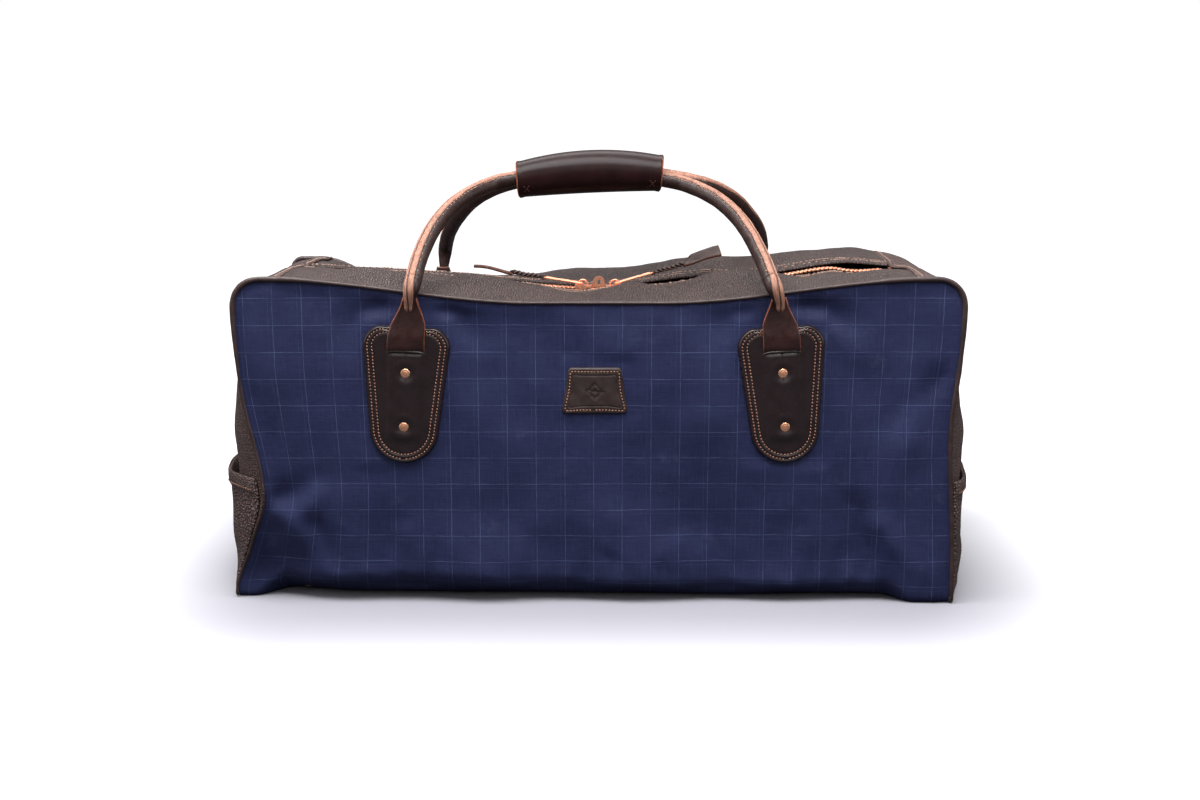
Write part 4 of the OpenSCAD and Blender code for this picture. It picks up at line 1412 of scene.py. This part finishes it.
def build_wrap():
    for word, rear in FACES.items():
        x = np.linspace(-WRAP_HALF, WRAP_HALF, 70)
        a = np.linspace(0.004, 0.996, 44)
        grid = wrap_surface(x[:, None], a[None])
        flat = grid_of(x[:, None], a[None] * 52 * MM)
        grid[..., 0] -= WRAP_SHIFT
        obj = slab(f"wrap_{word}", grid[::-1], 2.5 * MM, flat[::-1], [grip_leather, strap_edge], rear, rim=1,
                   side_rim=0)
        attach(obj, f"handle_{word}", "grip_leather", f"grip_wrap_{word}")
        rows = []
        for sign in (-1, 1):
            for da in (-0.05, 0.05):
                xs = sign * (WRAP_HALF - 7 * MM) + np.linspace(-1.8, 1.8, 5) * MM
                here = wrap_surface(xs, 0.66 + da * np.linspace(-1, 1, 5)) - [WRAP_SHIFT, 0, 0]
                rows.append((here, (0, -0.85, -0.5)))
        obj = stitches(f"wrap_tacks_{word}", rows, rear, pitch=1.9 * MM, length=1.7 * MM, thick=0.6 * MM,
                       material=tack_thread)
        attach(obj, f"handle_{word}", "grip_leather")


# ---------------------------------------------------------------- zip pulls and tails


WIRE_R = 0.8 * MM  # of a pull's loop


def joint_of(name):
    return next(j for j in frame["joints"] if j["name"] == name)


def pull_frame(word):
    """Origin on the pull's pin, X out along the pull, and the pull's length."""
    pin = np.array(joint_of(f"pull_{word}_lift")["pos_m"])
    end = np.array(joint_of(f"tail_{word}_hang")["pos_m"])
    x = unit(end - pin)
    y = np.array([0, np.sign(x[0]), 0])
    return frame_at(pin, x, y, np.cross(x, y)), float(np.linalg.norm(end - pin))


def build_pulls():
    for word in SIDES:
        place, length = pull_frame(word)
        # A long loop of cast wire: round the pin, along both sides and round the end bar.
        wide, bend = 3.0 * MM, 1.2 * MM
        end = np.linspace(-math.pi / 2, math.pi / 2, 9)
        half = np.concatenate([
            np.stack([length - bend + np.cos(end) * bend, np.sin(end) * wide], 1),
            np.stack([bend - np.cos(end) * bend, -np.sin(end) * wide], 1),
        ])
        loop = resample(np.concatenate([half, half[:1]]), 1.2 * MM)
        waist = 1 - 0.22 * np.sin(math.pi * np.clip(loop[:, 0] / length, 0, 1)) ** 2
        path = np.column_stack([loop[:, 0], loop[:, 1] * waist, np.zeros(len(loop))])
        up = place([0, 0, 1]) - place([0, 0, 0])
        wire = sweep(f"pull_loop_{word}", place(path), circle(WIRE_R, 10), up, around(WIRE_R, 10), zip_copper)
        attach(wire, f"pull_{word}", "copper", f"pull_{word}")
        # The blade between the two openings, thinner than the loop.
        a = np.linspace(0, 2 * math.pi, 40, endpoint=False)
        lobe = np.stack([length * 0.5 + np.sign(np.cos(a)) * np.abs(np.cos(a)) ** 0.7 * length * 0.3,
                         np.sin(a) * 2.6 * MM], 1)
        middle = lobe.mean(0)
        layers = ((-0.5, 0.94), (-0.35, 1.0), (0.35, 1.0), (0.5, 0.94), (0.32, 0.7))
        verts, faces = stacked([np.column_stack([middle + (lobe - middle) * shrink, np.full(40, h * MM)])
                                for h, shrink in layers])
        verts = place(verts)
        if word == "left":
            faces = [f[::-1] for f in faces]
        blade = make(f"pull_blade_{word}", verts, faces, zip_copper, verts[:, [0, 1]])
        attach(blade, f"pull_{word}", "copper")


TAIL_ROLL = {"left": math.radians(6), "right": math.radians(36)}  # turn of each tail's flat end


BRAID_START, BRAID_LONG = 2.2 * MM, 25.5 * MM  # from a pull's end, along each tail
BRAID_TURNS = 2.2


def build_tails():
    """A braided leather tail: a lark's-head eye, a three-strand braid and a flat end with raw edges."""
    for word in SIDES:
        place, length = pull_frame(word)
        origin = np.array([length, 0, 0])
        s = np.linspace(0, 1, 90)
        for k in range(3):
            turn = s * 2 * math.pi * BRAID_TURNS + 2 * math.pi * k / 3
            swell = smooth(s / 0.12)
            x = BRAID_START + s * BRAID_LONG
            y = 2.5 * MM * np.sin(turn) * (0.45 + 0.55 * swell)
            z = 1.0 * MM * np.sin(2 * turn) * swell + 0.3 * MM * np.sin(s * 9)
            path = place(np.stack([x, y, z], 1) + origin)
            strand = sweep(f"tail_strand_{word}_{k}", path, circle(1.75 * MM, 10, 0.58), (0, 1, 0),
                           around(1.5 * MM, 10), braid_leather)
            attach(strand, f"tail_{word}", "braid_leather")
        a = np.linspace(-math.pi * 0.82, math.pi * 0.82, 18)
        eye = grid_of(0.25 * MM - 1.9 * MM * np.cos(a), 0.0, 1.75 * MM * np.sin(a)) + origin
        eye = sweep(f"tail_eye_{word}", place(eye), circle(0.6 * MM, 10) * [3.2, 1], (0, 1, 0),
                    around(1 * MM, 10), braid_leather)
        attach(eye, f"tail_{word}", "braid_leather")
        us = np.linspace(26.4, 59, 30)[:, None] * MM
        c = np.linspace(-1, 1, 9)[None]
        half = (3.4 + 2.0 * smooth((us / MM - 26) / 9) + 0.5 * smooth((us / MM - 48) / 8)) * MM
        roll = TAIL_ROLL[word] * smooth((us / MM - 24) / 12)
        cos, sin = np.cos(roll), np.sin(roll)
        wide = c * half
        deep = 1.0 * MM + 0.8 * MM * np.sin(us * 160) - 0.3 * MM * c**2
        lift = half * np.abs(sin) * 0.7
        grid = grid_of(us, wide * cos - deep * sin, wide * sin + deep * cos + lift)
        flat = grid_of(us, wide)
        points = place(grid.reshape(-1, 3) + origin).reshape(grid.shape)
        obj = slab(f"tail_end_{word}", points, 2.4 * MM, flat, [braid_leather, tail_edge], rim=1, bulge=0.2)
        attach(obj, f"tail_{word}", "braid_leather", f"tail_{word}")


# ---------------------------------------------------------------- inside and underneath


def build_inside():
    """A loose lining, and the canvas bottom between the turned-under panels."""
    a = np.linspace(0, 2 * math.pi, 161)
    # Rows from the lining's upper edge down, closer together where it turns into the floor
    rows = np.concatenate([np.linspace(222, 24, 34), np.linspace(20, 6.2, 8)]) * MM
    power = 0.22  # how square its corners are
    shape_x = np.sign(np.cos(a)) * np.abs(np.cos(a)) ** power
    shape_y = np.sign(np.sin(a)) * np.abs(np.sin(a)) ** power
    turn = np.clip((24 * MM - rows) / (18 * MM), 0, 1)[:, None]
    half_x, half_y = (half * MM - 12 * MM * turn**2 for half in (243, 104))
    x, y = shape_x[None] * half_x, shape_y[None] * half_y
    z = np.broadcast_to(rows[:, None], x.shape)
    slack = (2.6 * MM * ripple(101, 60 * MM, x, y, z * 0.4) + 1.0 * MM * ripple(103, 24 * MM, x, y, z * 0.5))
    slack = slack * rise(z, 6, 30) - 1.5 * MM
    inward = np.stack([shape_x[None] / (half_x * 4), shape_y[None] / (half_y * 4), 0 * x], -1)
    walls = np.stack([x, y, z], -1) + unit(inward) * slack[..., None]
    walls[:, -1] = walls[:, 0]
    flat = grid_of(run_of(walls[0])[None], z)
    obj = slab("lining_walls", walls, 0.7 * MM, flat, lining_cloth)
    attach(obj, "bag_body", "lining", "lining")
    s, t = square(60, 30)
    z = 6.6 * MM + 0.8 * MM * (1 + ripple(105, 70 * MM, s * 0.24, t * 0.1))
    floor = grid_of(s * 236 * MM, t * 97 * MM, z)
    obj = slab("lining_floor", floor, 0.7 * MM, floor[..., :2].copy(), lining_cloth)
    attach(obj, "bag_body", "lining")
    s, t = square(70, 30)
    z = 0.9 * MM + 0.05 * MM * ripple(107, 50 * MM, s * 0.26, t * 0.09)
    base = grid_of(s * 250 * MM, t * 71 * MM, z)
    obj = slab("canvas_bottom", base[::-1], 1.2 * MM, base[::-1, :, :2].copy(), canvas, bulge=0.1)
    attach(obj, "bag_body", "canvas", "bottom_panel")
    s, t = square(80, 40)
    round_off = np.abs(s) ** 16 + np.abs(t) ** 10
    x, y = s * (238 - 4 * np.abs(t) ** 8), t * (86 - 4 * np.abs(s) ** 12)
    stiff = grid_of(x, y, 5.1 - 0.25 * round_off) * MM
    obj = slab("stiff_base", stiff, 2.4 * MM, stiff[..., :2].copy(), board)
    attach(obj, "bag_body", "base_board", "base_board")


def dress_cad():
    """Materials and softened edges for the CAD nodes that stay in sight."""
    wear = {
        "slider_left": zip_copper, "slider_right": zip_copper, "zip_stops": zip_copper, "burrs_front": copper,
        "burrs_rear": copper, "backing_front": hidden_leather, "backing_rear": hidden_leather,
    }
    for name, material in wear.items():
        obj = frame["nodes"][name]
        obj.data.materials.clear()
        obj.data.materials.append(material)
        bevel = obj.modifiers.new("worn_edges", "BEVEL")
        bevel.width = 0.35 * MM
        bevel.segments = 2
        bevel.limit_method = "ANGLE"
        bevel.angle_limit = math.radians(40)


# ---------------------------------------------------------------- studio


def studio():
    """A table that glows white for the camera but sends little light back, under soft boxes; near the bag its
    glow fades, leaving painted shade.
    """
    k = Nodes("floor", rough=0.9, specular=0.0)
    k.set("Base Color", (0.34, 0.335, 0.375, 1))
    k.set("Emission Color", (1, 1, 1, 1))
    # Painted light: the floor glows for the camera only, from a hand's width away from the bag outwards, so
    # that its soft shadow stays; the grey left round the bag where the glow fades is painted shade.
    at = k.vector("ABSOLUTE", k.add("TexCoord").outputs["Object"])
    past = k.vector("MAXIMUM", k.vector("SUBTRACT", at, (0.225, 0.10, 0.0)), (0.0, 0.0, 0.0))
    away = k.add("VectorMath", past, operation="LENGTH").outputs["Value"]
    k.set("Emission Strength", k.ramp(away, 0.04, 0.24, 0.0, 0.92))
    dim = k.add("BsdfDiffuse", (0.06, 0.06, 0.065, 1))
    seen = k.add("LightPath").outputs["Is Camera Ray"]
    either = k.add("MixShader", seen, dim.outputs[0], k.shader.outputs[0])
    k.tree.links.new(either.outputs[0], k.tree.nodes["Material Output"].inputs[0])
    data = bpy.data.meshes.new("floor")
    half = 14
    corners = [(-half, -half, 0), (half, -half, 0), (half, half, 0), (-half, half, 0)]
    data.from_pydata(corners, [], [(0, 1, 2, 3)])
    data.materials.append(k.mat)
    floor = bpy.data.objects.new("floor", data)
    bpy.context.scene.collection.objects.link(floor)

    world = bpy.data.worlds.new("studio")
    bpy.context.scene.world = world
    world.use_nodes = True
    tree = world.node_tree
    lit, seen = tree.nodes["Background"], tree.nodes.new("ShaderNodeBackground")
    lit.inputs[0].default_value = (1.0, 0.97, 0.95, 1)
    lit.inputs[1].default_value = 0.2
    seen.inputs[0].default_value = (1, 1, 1, 1)
    seen.inputs[1].default_value = 1.0
    path, either = tree.nodes.new("ShaderNodeLightPath"), tree.nodes.new("ShaderNodeMixShader")
    tree.links.new(path.outputs["Is Camera Ray"], either.inputs[0])
    tree.links.new(lit.outputs[0], either.inputs[1])
    tree.links.new(seen.outputs[0], either.inputs[2])
    tree.links.new(either.outputs[0], tree.nodes["World Output"].inputs[0])

    def place(name, light, at, to):
        obj = bpy.data.objects.new(name, light)
        obj.location = at
        obj.rotation_euler = (Vector(to) - Vector(at)).to_track_quat("-Z", "Y").to_euler()
        bpy.context.scene.collection.objects.link(obj)

    def softbox(name, at, to, size, power):
        light = bpy.data.lights.new(name, "AREA")
        light.shape = "RECTANGLE"
        light.size, light.size_y = size
        light.energy = power
        place(name, light, at, to)

    sun = bpy.data.lights.new("sky", "SUN")
    sun.energy = 1.0
    sun.angle = math.radians(60)
    place("sky", sun, (0.1, -0.3, 3), (0, 0, 0))
    # Where each soft box hangs, what it points at, its size and its power
    softbox("key", (-0.15, -0.42, 1.15), (0, -0.1, 0.15), (1.6, 0.7), 28)
    softbox("front", (0, -1.7, 0.85), (0, 0, 0.2), (1.6, 0.6), 3.2)
    softbox("rim", (0.1, 0.9, 1.5), (0, 0, 0.2), (1.8, 0.7), 13)
    softbox("right", (1.7, -0.7, 0.8), (0.2, 0, 0.12), (0.8, 1.0), 7)
    softbox("left", (-1.7, -0.5, 0.7), (-0.2, 0, 0.12), (0.8, 1.0), 7)

    camera = bpy.data.cameras.new("camera")
    camera.lens = 46.4
    camera.sensor_width = 36
    obj = bpy.data.objects.new("camera", camera)
    obj.location = (0.001, -1.290, 0.405)
    obj.rotation_euler = (math.radians(90 - 11.6), 0, 0)
    bpy.context.scene.collection.objects.link(obj)
    bpy.context.scene.camera = obj
    bpy.context.scene.view_settings.view_transform = "Standard"


for build in (build_panels, build_piping, build_top, build_zip, build_ends, build_pockets, build_patches,
              build_rivets, build_label, build_rolls, build_wrap, build_pulls, build_tails, build_inside,
              dress_cad, studio):
    build()
